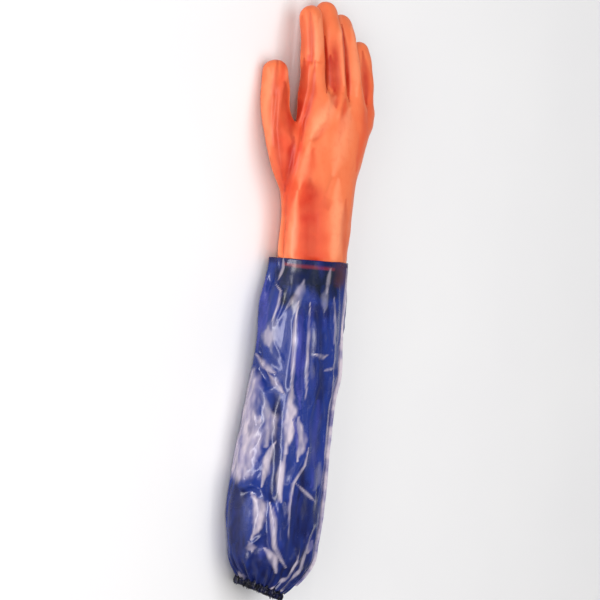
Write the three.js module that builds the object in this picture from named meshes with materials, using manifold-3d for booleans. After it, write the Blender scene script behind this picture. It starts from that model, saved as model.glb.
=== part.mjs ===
// A right-hand PVC coated work glove with a long film sleeve, lying palm down on a flat surface.
// Millimetres. +Y runs to the fingertips, -X is the thumb side and +Z the back of the hand.
// The dipped hand is one hollow shell whose cuff is tucked into a tube of thin film. The tube ends in a
// gathered hem that is folded over an elastic.
import * as THREE from "three";
import { mergeVertices } from "three/addons/utils/BufferGeometryUtils.js";
import Module from "manifold-3d";

const wasm = await Module();
wasm.setup();

// The coated hand
const PALM_LENGTH = 158; // from the joint with the sleeve to the knuckles
const PALM_WIDTH = 108; // across the knuckles, thumb left out
const PALM_DEPTH = 33; // at the knuckles
const KNUCKLE_HEIGHT = 36; // middle of the hand above the surface
const KNUCKLE_SLANT = 15; // how much further the roots of the fingers lie on the index side
const WRIST_WIDTH = 84;
const WRIST_DEPTH = 54;
const CUFF_TUCK = 36; // length of the cuff inside the sleeve
const CUFF_TAPER = 2; // how far the cuff's end is drawn in all round
const COAT_WALL = 2;
const COAT_RELIEF = 3; // height of the highest ridge of the hand

// The fingers, from the knuckles to the tips, and the thumb, from the joint with the sleeve
const INDEX_LENGTH = 96;
const MIDDLE_LENGTH = 101;
const RING_LENGTH = 90;
const LITTLE_LENGTH = 66;
const THUMB_REACH = 199;
const INDEX_WIDTH = 25;
const MIDDLE_WIDTH = 24.6;
const RING_WIDTH = 24;
const LITTLE_WIDTH = 22.4;
const THUMB_WIDTH = 29.6;
const WEB_WIDTH = 42;
const WEB_DEPTH = 32;

// The film sleeve
const SLEEVE_LENGTH = 326; // from the joint to the middle of the mouth
const SLEEVE_WIDTH = 113;
const SLEEVE_HEIGHT = 73;
const FILM_WALL = 1.2;
const FILM_RELIEF = 6; // height of the highest fold of the film
const SIDE_WELD_WIDTH = 3.5;
const SIDE_WELD_THICKNESS = 1.1;
const SIDE_WELD_TURN = 53; // degrees round the sleeve from its outer side

// The gathered mouth
const MOUTH_DIAMETER = 50;
const MOUTH_YAW = 11.5; // degrees that the mouth turns to the thumb side
const MOUTH_PITCH = 13; // degrees that it turns down
const HEM_LENGTH = 8;
const HEM_WALL = 1.2;
const HEM_GATHERS = 16;
const GATHER_HEIGHT = 2;
const ELASTIC_WIDTH = 5;
const ELASTIC_THICKNESS = 1.2;

const CLEARANCE = 0.3; // between one piece and the next

// How finely the curved pieces are divided
const PALM_SIDES = 32;
const FINGER_SIDES = 15;
const SLEEVE_SIDES = 44;
const SLEEVE_RINGS = 19;
const CLOSING_RINGS = 5;
const SIDES_PER_GATHER = 4;

// Where each length lies on the surface that the glove rests on
const WRIST_HEIGHT = WRIST_DEPTH / 2 + FILM_WALL + CLEARANCE;

// Sections of the palm and wrist. along: share of the palm's length. shift: share of its width.
// lift, wide and deep: how far the height, width and depth have gone from the wrist's to the knuckles'.
// cup: how far the underside is hollowed, as a share of the depth. slant: share of the knuckles' slant.
const PALM_ROWS = [
  { along: 0.0, shift: 0.0, lift: 0.0, wide: 0.0, deep: 0.0, cup: 0.0, slant: 0.0 },
  { along: 0.14, shift: 0.003, lift: 0.04, wide: 0.02, deep: 0.02, cup: 0.0, slant: 0.0 },
  { along: 0.26, shift: 0.003, lift: 0.12, wide: 0.06, deep: 0.05, cup: 0.0, slant: 0.0 },
  { along: 0.41, shift: 0.0, lift: 0.3, wide: 0.2, deep: 0.12, cup: 0.03, slant: 0.0 },
  { along: 0.53, shift: -0.003, lift: 0.5, wide: 0.36, deep: 0.22, cup: 0.08, slant: 0.0 },
  { along: 0.66, shift: 0.015, lift: 0.78, wide: 0.54, deep: 0.38, cup: 0.12, slant: 0.1 },
  { along: 0.78, shift: 0.05, lift: 1.0, wide: 0.66, deep: 0.53, cup: 0.15, slant: 0.3 },
  { along: 0.89, shift: 0.077, lift: 1.08, wide: 0.88, deep: 0.74, cup: 0.12, slant: 0.6 },
  { along: 0.96, shift: 0.085, lift: 1.07, wide: 0.98, deep: 0.94, cup: 0.08, slant: 0.9 },
  { along: 1.01, shift: 0.09, lift: 1.06, wide: 0.98, deep: 1.12, cup: 0.04, slant: 1.0 },
  { along: 1.05, shift: 0.092, lift: 1.05, wide: 0.9, deep: 1.34, cup: 0.0, slant: 1.0 },
  { along: 1.08, shift: 0.094, lift: 1.04, wide: 0.7, deep: 1.72, cup: 0.0, slant: 1.0 },
];

// Ridges and dips of the hand's skin. from and to: shares of the palm's length. turn and endTurn:
// degrees round the section, 90 at the back of the hand and 180 at the thumb side. spread: share of the
// palm's width. raise: share of the coat's relief.
const HAND_RELIEF = [
  { name: "thumb side ridge, upper", from: 0.98, to: 0.54, turn: 172, endTurn: 180, spread: 0.045, raise: 0.8 },
  { name: "thumb side ridge, lower", from: 0.54, to: -0.1, turn: 180, endTurn: 200, spread: 0.045, raise: 0.8 },
  { name: "dip above the wrist", from: 0.02, to: 0.34, turn: 136, endTurn: 132, spread: 0.13, raise: -0.9 },
  { name: "knuckle ridge", from: 1.06, to: 0.83, turn: 134, endTurn: 136, spread: 0.05, raise: 0.6 },
  { name: "slanted wrinkle", from: 0.88, to: 0.74, turn: 124, endTurn: 142, spread: 0.04, raise: -0.5 },
];

// Paths of the fingers. along: share of the finger's own length past the knuckles. across: share of the
// palm's width. lift: share of the knuckles' height.
const FINGERS = [
  {
    length: INDEX_LENGTH,
    width: INDEX_WIDTH,
    path: [
      { along: -0.16, across: -0.258, lift: 1.02 },
      { along: 0.16, across: -0.27, lift: 0.99 },
      { along: 0.48, across: -0.275, lift: 0.91 },
      { along: 0.72, across: -0.27, lift: 0.81 },
      { along: 0.89, across: -0.26, lift: 0.69 },
      { along: 1.0, across: -0.257, lift: 0.58 },
    ],
  },
  {
    length: MIDDLE_LENGTH,
    width: MIDDLE_WIDTH,
    path: [
      { along: -0.15, across: 0.0, lift: 1.11 },
      { along: 0.24, across: -0.005, lift: 1.06 },
      { along: 0.46, across: -0.009, lift: 0.96 },
      { along: 0.7, across: 0.0, lift: 0.79 },
      { along: 0.88, across: 0.033, lift: 0.53 },
      { along: 1.0, across: 0.06, lift: 0.36 },
    ],
  },
  {
    length: RING_LENGTH,
    width: RING_WIDTH,
    path: [
      { along: -0.17, across: 0.247, lift: 1.1 },
      { along: 0.06, across: 0.247, lift: 1.11 },
      { along: 0.28, across: 0.243, lift: 1.04 },
      { along: 0.52, across: 0.238, lift: 0.9 },
      { along: 0.76, across: 0.241, lift: 0.72 },
      { along: 0.9, across: 0.26, lift: 0.5 },
      { along: 1.0, across: 0.29, lift: 0.38 },
    ],
  },
  {
    length: LITTLE_LENGTH,
    width: LITTLE_WIDTH,
    path: [
      { along: -0.22, across: 0.465, lift: 0.94 },
      { along: 0.0, across: 0.482, lift: 0.92 },
      { along: 0.33, across: 0.486, lift: 0.89 },
      { along: 0.71, across: 0.477, lift: 0.76 },
      { along: 0.87, across: 0.487, lift: 0.64 },
      { along: 1.0, across: 0.505, lift: 0.56 },
    ],
  },
];

// Girth of a finger along its path: wide is a share of the finger's width, deep of that again.
const FINGER_GIRTH = [
  { at: 0.0, wide: 1.0, deep: 1.12 },
  { at: 0.2, wide: 1.03, deep: 1.04 },
  { at: 0.4, wide: 0.98, deep: 0.99 },
  { at: 0.58, wide: 1.02, deep: 0.98 },
  { at: 0.72, wide: 0.98, deep: 0.96 },
  { at: 0.86, wide: 0.97, deep: 0.94 },
];

// The thumb's path, in shares of its reach, the palm's width and the knuckles' height, and its girth.
const THUMB_PATH = [
  { along: 0.26, across: -0.15, lift: 0.83 },
  { along: 0.31, across: -0.24, lift: 0.83 },
  { along: 0.39, across: -0.35, lift: 0.83 },
  { along: 0.5, across: -0.465, lift: 0.77 },
  { along: 0.6, across: -0.545, lift: 0.66 },
  { along: 0.73, across: -0.59, lift: 0.53 },
  { along: 0.87, across: -0.58, lift: 0.41 },
  { along: 1.0, across: -0.57, lift: 0.33 },
];
const THUMB_GIRTH = [
  { at: 0.0, wide: 1.0, deep: 1.0 },
  { at: 0.15, wide: 1.08, deep: 1.0 },
  { at: 0.3, wide: 1.12, deep: 0.98 },
  { at: 0.44, wide: 1.07, deep: 0.98 },
  { at: 0.58, wide: 1.01, deep: 0.97 },
  { at: 0.7, wide: 1.0, deep: 0.96 },
  { at: 0.82, wide: 0.96, deep: 0.94 },
];

// The skin between thumb and palm. along: share of the palm's length. tilt: degrees that it leans down
// to the thumb.
const WEB_ROWS = [
  { along: 0.42, across: -0.25, lift: 0.88, wide: 0.9, deep: 1.0, tilt: 8 },
  { along: 0.56, across: -0.36, lift: 0.9, wide: 1.0, deep: 0.9, tilt: 20 },
  { along: 0.69, across: -0.425, lift: 0.9, wide: 0.95, deep: 0.68, tilt: 30 },
  { along: 0.78, across: -0.46, lift: 0.88, wide: 0.8, deep: 0.46, tilt: 36 },
  { along: 0.84, across: -0.48, lift: 0.86, wide: 0.5, deep: 0.26, tilt: 40 },
];

// Sections of the sleeve. along: share of its length. shift and wide: shares of its width. high and
// crease, the height of its side edges: shares of its height. fit: how far it hugs the cuff.
const SLEEVE_ROWS = [
  { along: 0.0, shift: -0.01, wide: 0.85, high: 0.82, crease: 0.4, fit: 1.0 },
  { along: 0.024, shift: -0.015, wide: 0.85, high: 0.82, crease: 0.4, fit: 1.0 },
  { along: 0.06, shift: -0.036, wide: 0.87, high: 0.84, crease: 0.39, fit: 0.6 },
  { along: 0.117, shift: -0.06, wide: 0.89, high: 0.86, crease: 0.37, fit: 0.15 },
  { along: 0.172, shift: -0.075, wide: 0.905, high: 0.87, crease: 0.345, fit: 0.0 },
  { along: 0.264, shift: -0.09, wide: 0.93, high: 0.892, crease: 0.338, fit: 0.0 },
  { along: 0.335, shift: -0.1, wide: 0.966, high: 0.919, crease: 0.338, fit: 0.0 },
  { along: 0.43, shift: -0.137, wide: 0.966, high: 0.892, crease: 0.324, fit: 0.0 },
  { along: 0.547, shift: -0.19, wide: 0.974, high: 0.932, crease: 0.324, fit: 0.0 },
  { along: 0.665, shift: -0.226, wide: 1.0, high: 0.973, crease: 0.324, fit: 0.0 },
  { along: 0.73, shift: -0.242, wide: 1.0, high: 1.0, crease: 0.324, fit: 0.0 },
  { along: 0.822, shift: -0.258, wide: 0.983, high: 1.0, crease: 0.324, fit: 0.0 },
  { along: 0.9, shift: -0.257, wide: 0.914, high: 0.973, crease: 0.324, fit: 0.0 },
];
const MOUTH_SHIFT = -0.345; // share of the sleeve's width
const SECTION_FULLNESS = 0.92; // 1 is an ellipse, less is squarer
const SLEEVE_EDGE = 1.12; // more than 1 draws the tube's sides to a soft edge
const SLEEVE_SEAT = 1.14; // more than 1 flattens the underside where the sleeve rests
const CLOSING_SWEEP = 1.6; // more than 1 rounds the film's shoulder at the mouth
const TIP_FULLNESS = 2.4; // 2 is a round fingertip, more is blunter

// Folds of the film, as the ridges of the hand above: from and to are shares of the sleeve's length,
// spread a share of its width and raise a share of the film's relief.
const SLEEVE_FOLDS = [
  { name: "thumb side pleat", from: -0.02, to: 0.16, turn: 212, endTurn: 200, spread: 0.045, raise: 1.0 },
  { name: "long ridge, thumb side", from: 0.14, to: 0.46, turn: 128, endTurn: 128, spread: 0.04, raise: 0.5 },
  { name: "long ridge, outer side", from: 0.14, to: 0.56, turn: 106, endTurn: 99, spread: 0.04, raise: 0.5 },
  { name: "ridge turned to the thumb", from: 0.56, to: 0.72, turn: 100, endTurn: 118, spread: 0.04, raise: 0.5 },
  { name: "ridge to the mouth", from: 0.72, to: 0.92, turn: 118, endTurn: 116, spread: 0.04, raise: 0.45 },
  { name: "valley between the ridges", from: 0.13, to: 0.46, turn: 117, endTurn: 113, spread: 0.045, raise: -0.4 },
  { name: "pinch at the thumb side", from: 0.27, to: 0.4, turn: 208, endTurn: 146, spread: 0.055, raise: -0.75 },
  { name: "lip below the pinch", from: 0.34, to: 0.46, turn: 200, endTurn: 140, spread: 0.05, raise: 0.35 },
  { name: "long valley", from: 0.4, to: 0.78, turn: 146, endTurn: 134, spread: 0.05, raise: -0.7 },
  { name: "pinch at the outer side", from: 0.32, to: 0.35, turn: 86, endTurn: 56, spread: 0.05, raise: -0.6 },
  { name: "outer long valley", from: 0.42, to: 0.82, turn: 78, endTurn: 72, spread: 0.055, raise: -0.55 },
  { name: "arched lip", from: 0.68, to: 0.7, turn: 178, endTurn: 150, spread: 0.05, raise: 0.4 },
  { name: "hollow below the lip", from: 0.74, to: 0.86, turn: 166, endTurn: 160, spread: 0.06, raise: -0.5 },
  { name: "fold to the mouth", from: 0.76, to: 0.95, turn: 134, endTurn: 112, spread: 0.045, raise: 0.5 },
  { name: "outer fold to the mouth", from: 0.8, to: 0.97, turn: 62, endTurn: 92, spread: 0.05, raise: -0.55 },
  { name: "hidden side crease", from: 0.3, to: 0.7, turn: 330, endTurn: 345, spread: 0.06, raise: -0.5 },
];

const degrees = THREE.MathUtils.degToRad;
const mix = THREE.MathUtils.lerp;

// The value of one column of a table, smoothly between its rows.
function sample(rows, column, key, at) {
  const last = rows.length - 1;
  const next = THREE.MathUtils.clamp(rows.findIndex((row) => row[key] > at), 1, last);
  const i = at >= rows[last][key] ? last : next;
  const slope = (j) => {
    const a = rows[Math.max(j - 1, 0)];
    const b = rows[Math.min(j + 1, last)];
    return (b[column] - a[column]) / (b[key] - a[key]);
  };
  const [p, q] = [rows[i - 1], rows[i]];
  const span = q[key] - p[key];
  const t = THREE.MathUtils.clamp((at - p[key]) / span, 0, 1);
  const rise = t * t * (3 - 2 * t);
  const leave = t * (1 - t) * (1 - t);
  const arrive = t * t * (t - 1);
  return mix(p[column], q[column], rise) + span * (leave * slope(i - 1) + arrive * slope(i));
}

// The height of the ridges and dips at one place of a tube. length and width are the sizes that the
// table's shares follow, girth is the tube's girth there.
function reliefAt(table, along, turn, { length, width, girth, height }) {
  let sum = 0;
  for (const fold of table) {
    const run = (fold.to - fold.from) * length;
    const side = ((fold.endTurn - fold.turn) * girth) / 360;
    const dy = (along - fold.from) * length;
    const dx = ((((turn - fold.turn + 540) % 360) - 180) * girth) / 360;
    const reach = run * run + side * side;
    const t = THREE.MathUtils.clamp((dy * run + dx * side) / reach, 0, 1);
    const off = Math.hypot(dy - t * run, dx - t * side) / (fold.spread * width);
    sum += fold.raise * height * Math.exp(-off * off);
  }
  return sum;
}

// Power of a sine or cosine that keeps its sign.
const shaped = (value, power) => Math.sign(value) * Math.abs(value) ** power;

// A closed solid from rings of equally many points, first ring to last, with its ends closed flat.
function loft(rings) {
  const sides = rings[0].length;
  const points = rings.flat();
  const index = [];
  for (let r = 0; r + 1 < rings.length; r++) {
    for (let s = 0; s < sides; s++) {
      const a = r * sides + s;
      const b = r * sides + ((s + 1) % sides);
      index.push(a, b, a + sides, b, b + sides, a + sides);
    }
  }
  for (const end of [0, rings.length - 1]) {
    const centre = rings[end].reduce((sum, p) => sum.add(p), new THREE.Vector3()).divideScalar(sides);
    points.push(centre);
    for (let s = 0; s < sides; s++) {
      const pair = [end * sides + s, end * sides + ((s + 1) % sides)];
      index.push(...(end ? pair : pair.reverse()), points.length - 1);
    }
  }
  return solid(points, index);
}

// A closed tube wall from outer and inner rings, joined at both ends.
function tubeWall(outer, inner) {
  return loop([...outer, ...inner.toReversed()]);
}

// A closed solid whose last ring joins its first.
function loop(rings) {
  const sides = rings[0].length;
  const points = rings.flat();
  const index = [];
  for (let r = 0; r < rings.length; r++) {
    const next = ((r + 1) % rings.length) * sides;
    for (let s = 0; s < sides; s++) {
      const a = r * sides + s;
      const b = r * sides + ((s + 1) % sides);
      const c = next + s;
      const d = next + ((s + 1) % sides);
      index.push(a, b, c, b, d, c);
    }
  }
  return solid(points, index);
}

// Geometry of a closed surface, turned so that its faces point outwards.
function solid(points, index) {
  let volume = 0;
  for (let i = 0; i < index.length; i += 3) {
    const [a, b, c] = index.slice(i, i + 3).map((k) => points[k]);
    volume += a.dot(b.clone().cross(c));
  }
  const faces = volume < 0 ? index.toReversed() : index;
  const geometry = new THREE.BufferGeometry().setFromPoints(points);
  geometry.setIndex(faces);
  return geometry;
}

function toManifold(geometry) {
  const merged = mergeVertices(geometry, 1e-4);
  const vertProperties = new Float32Array(merged.attributes.position.array);
  const triVerts = new Uint32Array(merged.index.array);
  return new wasm.Manifold(new wasm.Mesh({ numProp: 3, vertProperties, triVerts }));
}

function fromManifold(body) {
  const { numProp, vertProperties, triVerts } = body.getMesh();
  const geometry = new THREE.BufferGeometry();
  const data = new THREE.InterleavedBuffer(vertProperties, numProp);
  geometry.setAttribute("position", new THREE.InterleavedBufferAttribute(data, 3, 0));
  geometry.setIndex(new THREE.BufferAttribute(triVerts, 1));
  return geometry.toNonIndexed();
}

// A ring moved inwards in its own plane by the wall, from the directions of its neighbours.
function inset(ring, wall, axis) {
  const count = ring.length;
  return ring.map((p, i) => {
    const along = ring[(i + 1) % count].clone().sub(ring[(i + count - 1) % count]);
    const inward = axis.clone().cross(along).normalize();
    return p.clone().addScaledVector(inward, wall);
  });
}

// One ring round the palm or wrist. inside is the wall that the ring is moved in by.
function palmRing(along, inside, y = along * PALM_LENGTH) {
  const at = Math.max(along, 0);
  const get = (column) => sample(PALM_ROWS, column, "along", at);
  const halfWidth = mix(WRIST_WIDTH, PALM_WIDTH, get("wide")) / 2;
  const halfDepth = mix(WRIST_DEPTH, PALM_DEPTH, get("deep")) / 2;
  const x = get("shift") * PALM_WIDTH;
  const z = mix(WRIST_HEIGHT, KNUCKLE_HEIGHT, get("lift"));
  const sizes = {
    length: PALM_LENGTH,
    width: PALM_WIDTH,
    girth: Math.PI * (halfWidth + halfDepth),
    height: COAT_RELIEF,
  };
  const ring = [];
  for (let i = 0; i < PALM_SIDES; i++) {
    const turn = (360 * i) / PALM_SIDES;
    const [c, s] = [Math.cos(degrees(turn)), Math.sin(degrees(turn))];
    const raised = along > 0 ? reliefAt(HAND_RELIEF, along, turn, sizes) : 0;
    const hollow = s < 0 ? get("cup") * PALM_DEPTH * s * s : 0;
    const slant = -get("slant") * KNUCKLE_SLANT * (c / 2);
    ring.push(
      new THREE.Vector3(
        x + shaped(c, SECTION_FULLNESS) * halfWidth + c * raised,
        y + slant,
        z + shaped(s, SECTION_FULLNESS) * halfDepth + s * raised + hollow,
      ),
    );
  }
  return inset(ring, inside, new THREE.Vector3(0, -1, 0));
}

// The palm and wrist, from the tucked cuff's end to the roots of the fingers.
function palmLoft(inside) {
  const rings = PALM_ROWS.map((row) => palmRing(row.along, inside));
  const cuffEnd = -CUFF_TUCK - inside; // the hollow runs out through the cuff's end
  rings.unshift(palmRing(-CUFF_TUCK / PALM_LENGTH, inside + CUFF_TAPER, cuffEnd));
  return loft(rings);
}

// A finger or the thumb: rings square to its path, and a rounded tip.
function digitLoft(points, girth, width, inside) {
  const path = new THREE.CatmullRomCurve3(points, false, "centripetal");
  const length = path.getLength();
  const bodyEnd = 1 - width / 2 / length;
  const rings = [];
  const addRing = (at, wide, deep) => {
    const middle = path.getPointAt(at);
    const ahead = path.getTangentAt(at);
    const across = new THREE.Vector3(ahead.y, -ahead.x, 0).normalize();
    const up = across.clone().cross(ahead);
    const halfWide = Math.max(wide / 2 - inside, inside / 8);
    const halfDeep = Math.max((wide * deep) / 2 - inside, inside / 8);
    const ring = [];
    for (let i = 0; i < FINGER_SIDES; i++) {
      const turn = (2 * Math.PI * i) / FINGER_SIDES;
      ring.push(
        middle
          .clone()
          .addScaledVector(across, Math.cos(turn) * halfWide)
          .addScaledVector(up, Math.sin(turn) * halfDeep),
      );
    }
    rings.push(ring);
  };
  for (const row of girth) {
    addRing(row.at * bodyEnd, row.wide * width, row.deep);
  }
  const end = girth[girth.length - 1];
  for (const share of [0.0, 0.45, 0.75, 0.93]) {
    const round = (1 - share ** TIP_FULLNESS) ** (1 / TIP_FULLNESS);
    const room = inside / length;
    addRing(mix(bodyEnd, 1 - room, share), round * end.wide * width, end.deep);
  }
  return loft(rings);
}

function fingerLoft({ length, width, path }, inside) {
  const points = path.map(
    (row) =>
      new THREE.Vector3(
        row.across * PALM_WIDTH,
        PALM_LENGTH + row.along * length,
        row.lift * KNUCKLE_HEIGHT,
      ),
  );
  return digitLoft(points, FINGER_GIRTH, width, inside);
}

function thumbLoft(inside) {
  const points = THUMB_PATH.map(
    (row) =>
      new THREE.Vector3(row.across * PALM_WIDTH, row.along * THUMB_REACH, row.lift * KNUCKLE_HEIGHT),
  );
  return digitLoft(points, THUMB_GIRTH, THUMB_WIDTH, inside);
}

function webLoft(inside) {
  const rings = WEB_ROWS.map((row) => {
    const ring = [];
    const tilt = degrees(row.tilt);
    for (let i = 0; i < FINGER_SIDES; i++) {
      const turn = (2 * Math.PI * i) / FINGER_SIDES;
      const wide = Math.cos(turn) * ((row.wide * WEB_WIDTH) / 2 - inside);
      const deep = Math.sin(turn) * ((row.deep * WEB_DEPTH) / 2 - inside);
      ring.push(
        new THREE.Vector3(
          row.across * PALM_WIDTH + wide * Math.cos(tilt) - deep * Math.sin(tilt),
          row.along * PALM_LENGTH - inside,
          row.lift * KNUCKLE_HEIGHT + wide * Math.sin(tilt) + deep * Math.cos(tilt),
        ),
      );
    }
    return ring;
  });
  return loft(rings);
}

// The hand is every outer form joined, less every inner form joined.
function handShell() {
  const forms = (inside) =>
    [
      palmLoft(inside),
      thumbLoft(inside),
      webLoft(inside),
      ...FINGERS.map((finger) => fingerLoft(finger, inside)),
    ]
      .map(toManifold)
      .reduce((sum, form) => sum.add(form));
  return fromManifold(forms(0).subtract(forms(COAT_WALL)));
}

// The mouth's middle, and its directions: out of the mouth, across it and up.
const mouth = (() => {
  const turned = new THREE.Euler(degrees(MOUTH_PITCH), 0, degrees(-MOUTH_YAW), "ZXY");
  const out = new THREE.Vector3(0, -1, 0).applyEuler(turned);
  const across = new THREE.Vector3(1, 0, 0).applyEuler(turned);
  const up = new THREE.Vector3(0, 0, 1).applyEuler(turned);
  const reach = MOUTH_DIAMETER / 2 + GATHER_HEIGHT;
  const middle = new THREE.Vector3(
    MOUTH_SHIFT * SLEEVE_WIDTH,
    -SLEEVE_LENGTH,
    reach * up.z + (HEM_LENGTH / 2) * Math.abs(out.z),
  );
  return { out, across, up, middle };
})();

// A point of the mouth: turn in degrees round it, radius, and how far out of the sleeve it lies.
function mouthPoint(turn, radius, out) {
  const angle = degrees(turn);
  return mouth.middle
    .clone()
    .addScaledVector(mouth.across, Math.cos(angle) * radius)
    .addScaledVector(mouth.up, Math.sin(angle) * radius)
    .addScaledVector(mouth.out, out);
}

// A point of the film's outer face. raise lifts it off the film.
function sleevePoint(along, turn, raise = 0) {
  const get = (column) => sample(SLEEVE_ROWS, column, "along", along);
  const fit = get("fit");
  const cuffGap = 2 * (CLEARANCE + FILM_WALL);
  const halfWidth = mix(get("wide") * SLEEVE_WIDTH, WRIST_WIDTH + cuffGap, fit) / 2;
  const high = mix(get("high") * SLEEVE_HEIGHT, WRIST_DEPTH + cuffGap, fit);
  const crease = mix(get("crease") * SLEEVE_HEIGHT, WRIST_HEIGHT, fit);
  const shift = mix(get("shift") * SLEEVE_WIDTH, 0, fit);
  const [c, s] = [Math.cos(degrees(turn)), Math.sin(degrees(turn))];
  const edge = mix(SLEEVE_EDGE, SECTION_FULLNESS, fit);
  const seat = mix(SLEEVE_SEAT, 1, fit);
  const depth = s > 0 ? high - crease : crease * seat;
  const lifted = raise + reliefAt(SLEEVE_FOLDS, along, turn, {
    length: SLEEVE_LENGTH,
    width: SLEEVE_WIDTH,
    girth: Math.PI * (halfWidth + high / 2),
    height: FILM_RELIEF,
  });
  return new THREE.Vector3(
    shift + shaped(c, SECTION_FULLNESS) * halfWidth + c * lifted,
    -along * SLEEVE_LENGTH,
    Math.max(crease + shaped(s, edge) * depth + s * lifted, 0),
  );
}

// Places along the sleeve: evenly down to its shoulder, then closing on the mouth.
const SHOULDER = SLEEVE_ROWS[SLEEVE_ROWS.length - 1].along;
function sleeveStations() {
  const stations = [];
  for (let i = 0; i <= SLEEVE_RINGS; i++) {
    stations.push({ along: (SHOULDER * i) / SLEEVE_RINGS, close: 0 });
  }
  for (let i = 1; i <= CLOSING_RINGS; i++) {
    const close = i / CLOSING_RINGS;
    stations.push({ along: mix(SHOULDER, 1, close), close });
  }
  return stations;
}

// A point of the film, closed towards the mouth.
function filmPoint({ along, close }, turn, raise = 0) {
  const open = sleevePoint(Math.min(along, SHOULDER), turn, raise);
  if (!close) return open;
  const end = mouthPoint(turn, MOUTH_DIAMETER / 2 + raise, 0);
  const gather = close * close * GATHER_HEIGHT * Math.sin(degrees(turn * (SLEEVE_SIDES / 4)));
  const sweep = close ** CLOSING_SWEEP;
  const y = mix(open.y, end.y, close);
  return new THREE.Vector3(
    mix(open.x, end.x, sweep) + Math.cos(degrees(turn)) * gather * (1 - close),
    y,
    Math.max(mix(open.z, end.z, sweep) + Math.sin(degrees(turn)) * gather * (1 - close), 0),
  );
}

function filmSleeve() {
  const stations = sleeveStations();
  const ringOf = (station) => {
    const ring = [];
    for (let i = 0; i < SLEEVE_SIDES; i++) {
      ring.push(filmPoint(station, (360 * i) / SLEEVE_SIDES));
    }
    return ring;
  };
  const outer = stations.map(ringOf);
  const inner = outer.map((ring, i) => {
    const axis = stations[i].close ? mouth.out : new THREE.Vector3(0, -1, 0);
    return inset(ring, FILM_WALL, axis);
  });
  return tubeWall(outer, inner);
}

// The welded edges of the film: a narrow strip that lies along the outer side of the sleeve.
function sideWeld() {
  const halfTurn = (360 * SIDE_WELD_WIDTH) / (Math.PI * (SLEEVE_WIDTH + SLEEVE_HEIGHT));
  const corners = [
    { turn: -halfTurn, raise: CLEARANCE },
    { turn: halfTurn, raise: CLEARANCE },
    { turn: halfTurn, raise: CLEARANCE + SIDE_WELD_THICKNESS },
    { turn: -halfTurn, raise: CLEARANCE + SIDE_WELD_THICKNESS },
  ];
  const stations = sleeveStations().filter((station) => station.close < 1);
  const rings = stations.map((station) =>
    corners.map(({ turn, raise }) => filmPoint(station, SIDE_WELD_TURN + turn, raise)),
  );
  return loft(rings);
}

// The gathered hem: film folded over the elastic, open to the sleeve, with its outer wall in line with
// the film's end.
function gatheredHem() {
  const sides = HEM_GATHERS * SIDES_PER_GATHER;
  const outer = MOUTH_DIAMETER / 2;
  const tunnel = ELASTIC_THICKNESS + 2 * CLEARANCE;
  const inner = outer - tunnel - 2 * HEM_WALL;
  const start = CLEARANCE;
  const end = start + HEM_LENGTH;
  const profile = [
    { radius: outer, out: start, ruffle: 0.4 },
    { radius: outer, out: (start + end) / 2, ruffle: 1 },
    { radius: outer - HEM_WALL / 2, out: end, ruffle: 0.5 },
    { radius: inner + HEM_WALL / 2, out: end, ruffle: -0.2 },
    { radius: inner, out: start, ruffle: -0.5 },
    { radius: inner + HEM_WALL, out: start, ruffle: -0.5 },
    { radius: inner + HEM_WALL, out: end - HEM_WALL, ruffle: -0.2 },
    { radius: outer - HEM_WALL, out: end - HEM_WALL, ruffle: 0.5 },
    { radius: outer - HEM_WALL, out: start, ruffle: 0.4 },
  ];
  const rings = [];
  for (let i = 0; i < sides; i++) {
    const turn = (360 * i) / sides;
    const wave = (1 + Math.sin((2 * Math.PI * i) / SIDES_PER_GATHER)) / 2;
    rings.push(
      profile.map(({ radius, out, ruffle }) =>
        mouthPoint(turn, radius + ruffle * wave * GATHER_HEIGHT, out),
      ),
    );
  }
  return loop(rings);
}

function hemElastic() {
  const outer = MOUTH_DIAMETER / 2 - HEM_WALL - CLEARANCE;
  const inner = outer - ELASTIC_THICKNESS;
  const start = CLEARANCE + (HEM_LENGTH - HEM_WALL - ELASTIC_WIDTH) / 2;
  const rings = [];
  const sides = HEM_GATHERS * 2;
  for (let i = 0; i < sides; i++) {
    const turn = (360 * i) / sides;
    rings.push([
      mouthPoint(turn, outer, start),
      mouthPoint(turn, outer, start + ELASTIC_WIDTH),
      mouthPoint(turn, inner, start + ELASTIC_WIDTH),
      mouthPoint(turn, inner, start),
    ]);
  }
  return loop(rings);
}

// The pieces, named and coloured
const orangeCoat = { color: 0xf4511e, roughness: 0.42, metalness: 0 };
const blueFilm = { color: 0x1f2f8f, roughness: 0.15, metalness: 0 };
const darkFilm = { color: 0x10132e, roughness: 0.35, metalness: 0 };
const blackElastic = { color: 0x17171a, roughness: 0.8, metalness: 0 };

const glove = new THREE.Group();
function addPiece(name, geometry, finish) {
  const mesh = new THREE.Mesh(geometry, new THREE.MeshStandardMaterial(finish));
  mesh.name = name;
  glove.add(mesh);
}
addPiece("hand_shell", handShell(), orangeCoat);
addPiece("film_sleeve", filmSleeve(), blueFilm);
addPiece("side_weld", sideWeld(), blueFilm);
addPiece("gathered_hem", gatheredHem(), darkFilm);
addPiece("hem_elastic", hemElastic(), blackElastic);

// The origin is the middle of the glove's footprint, on the surface that it lies on.
const extent = new THREE.Box3().setFromObject(glove);
const footprint = extent.getCenter(new THREE.Vector3());
glove.position.set(-footprint.x, -footprint.y, -extent.min.z);

const part = new THREE.Group();
part.add(glove);
export default part;
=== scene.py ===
import math

import bmesh
import bpy
import numpy as np
import openvdb
from mathutils import Matrix, Vector, noise


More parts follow.
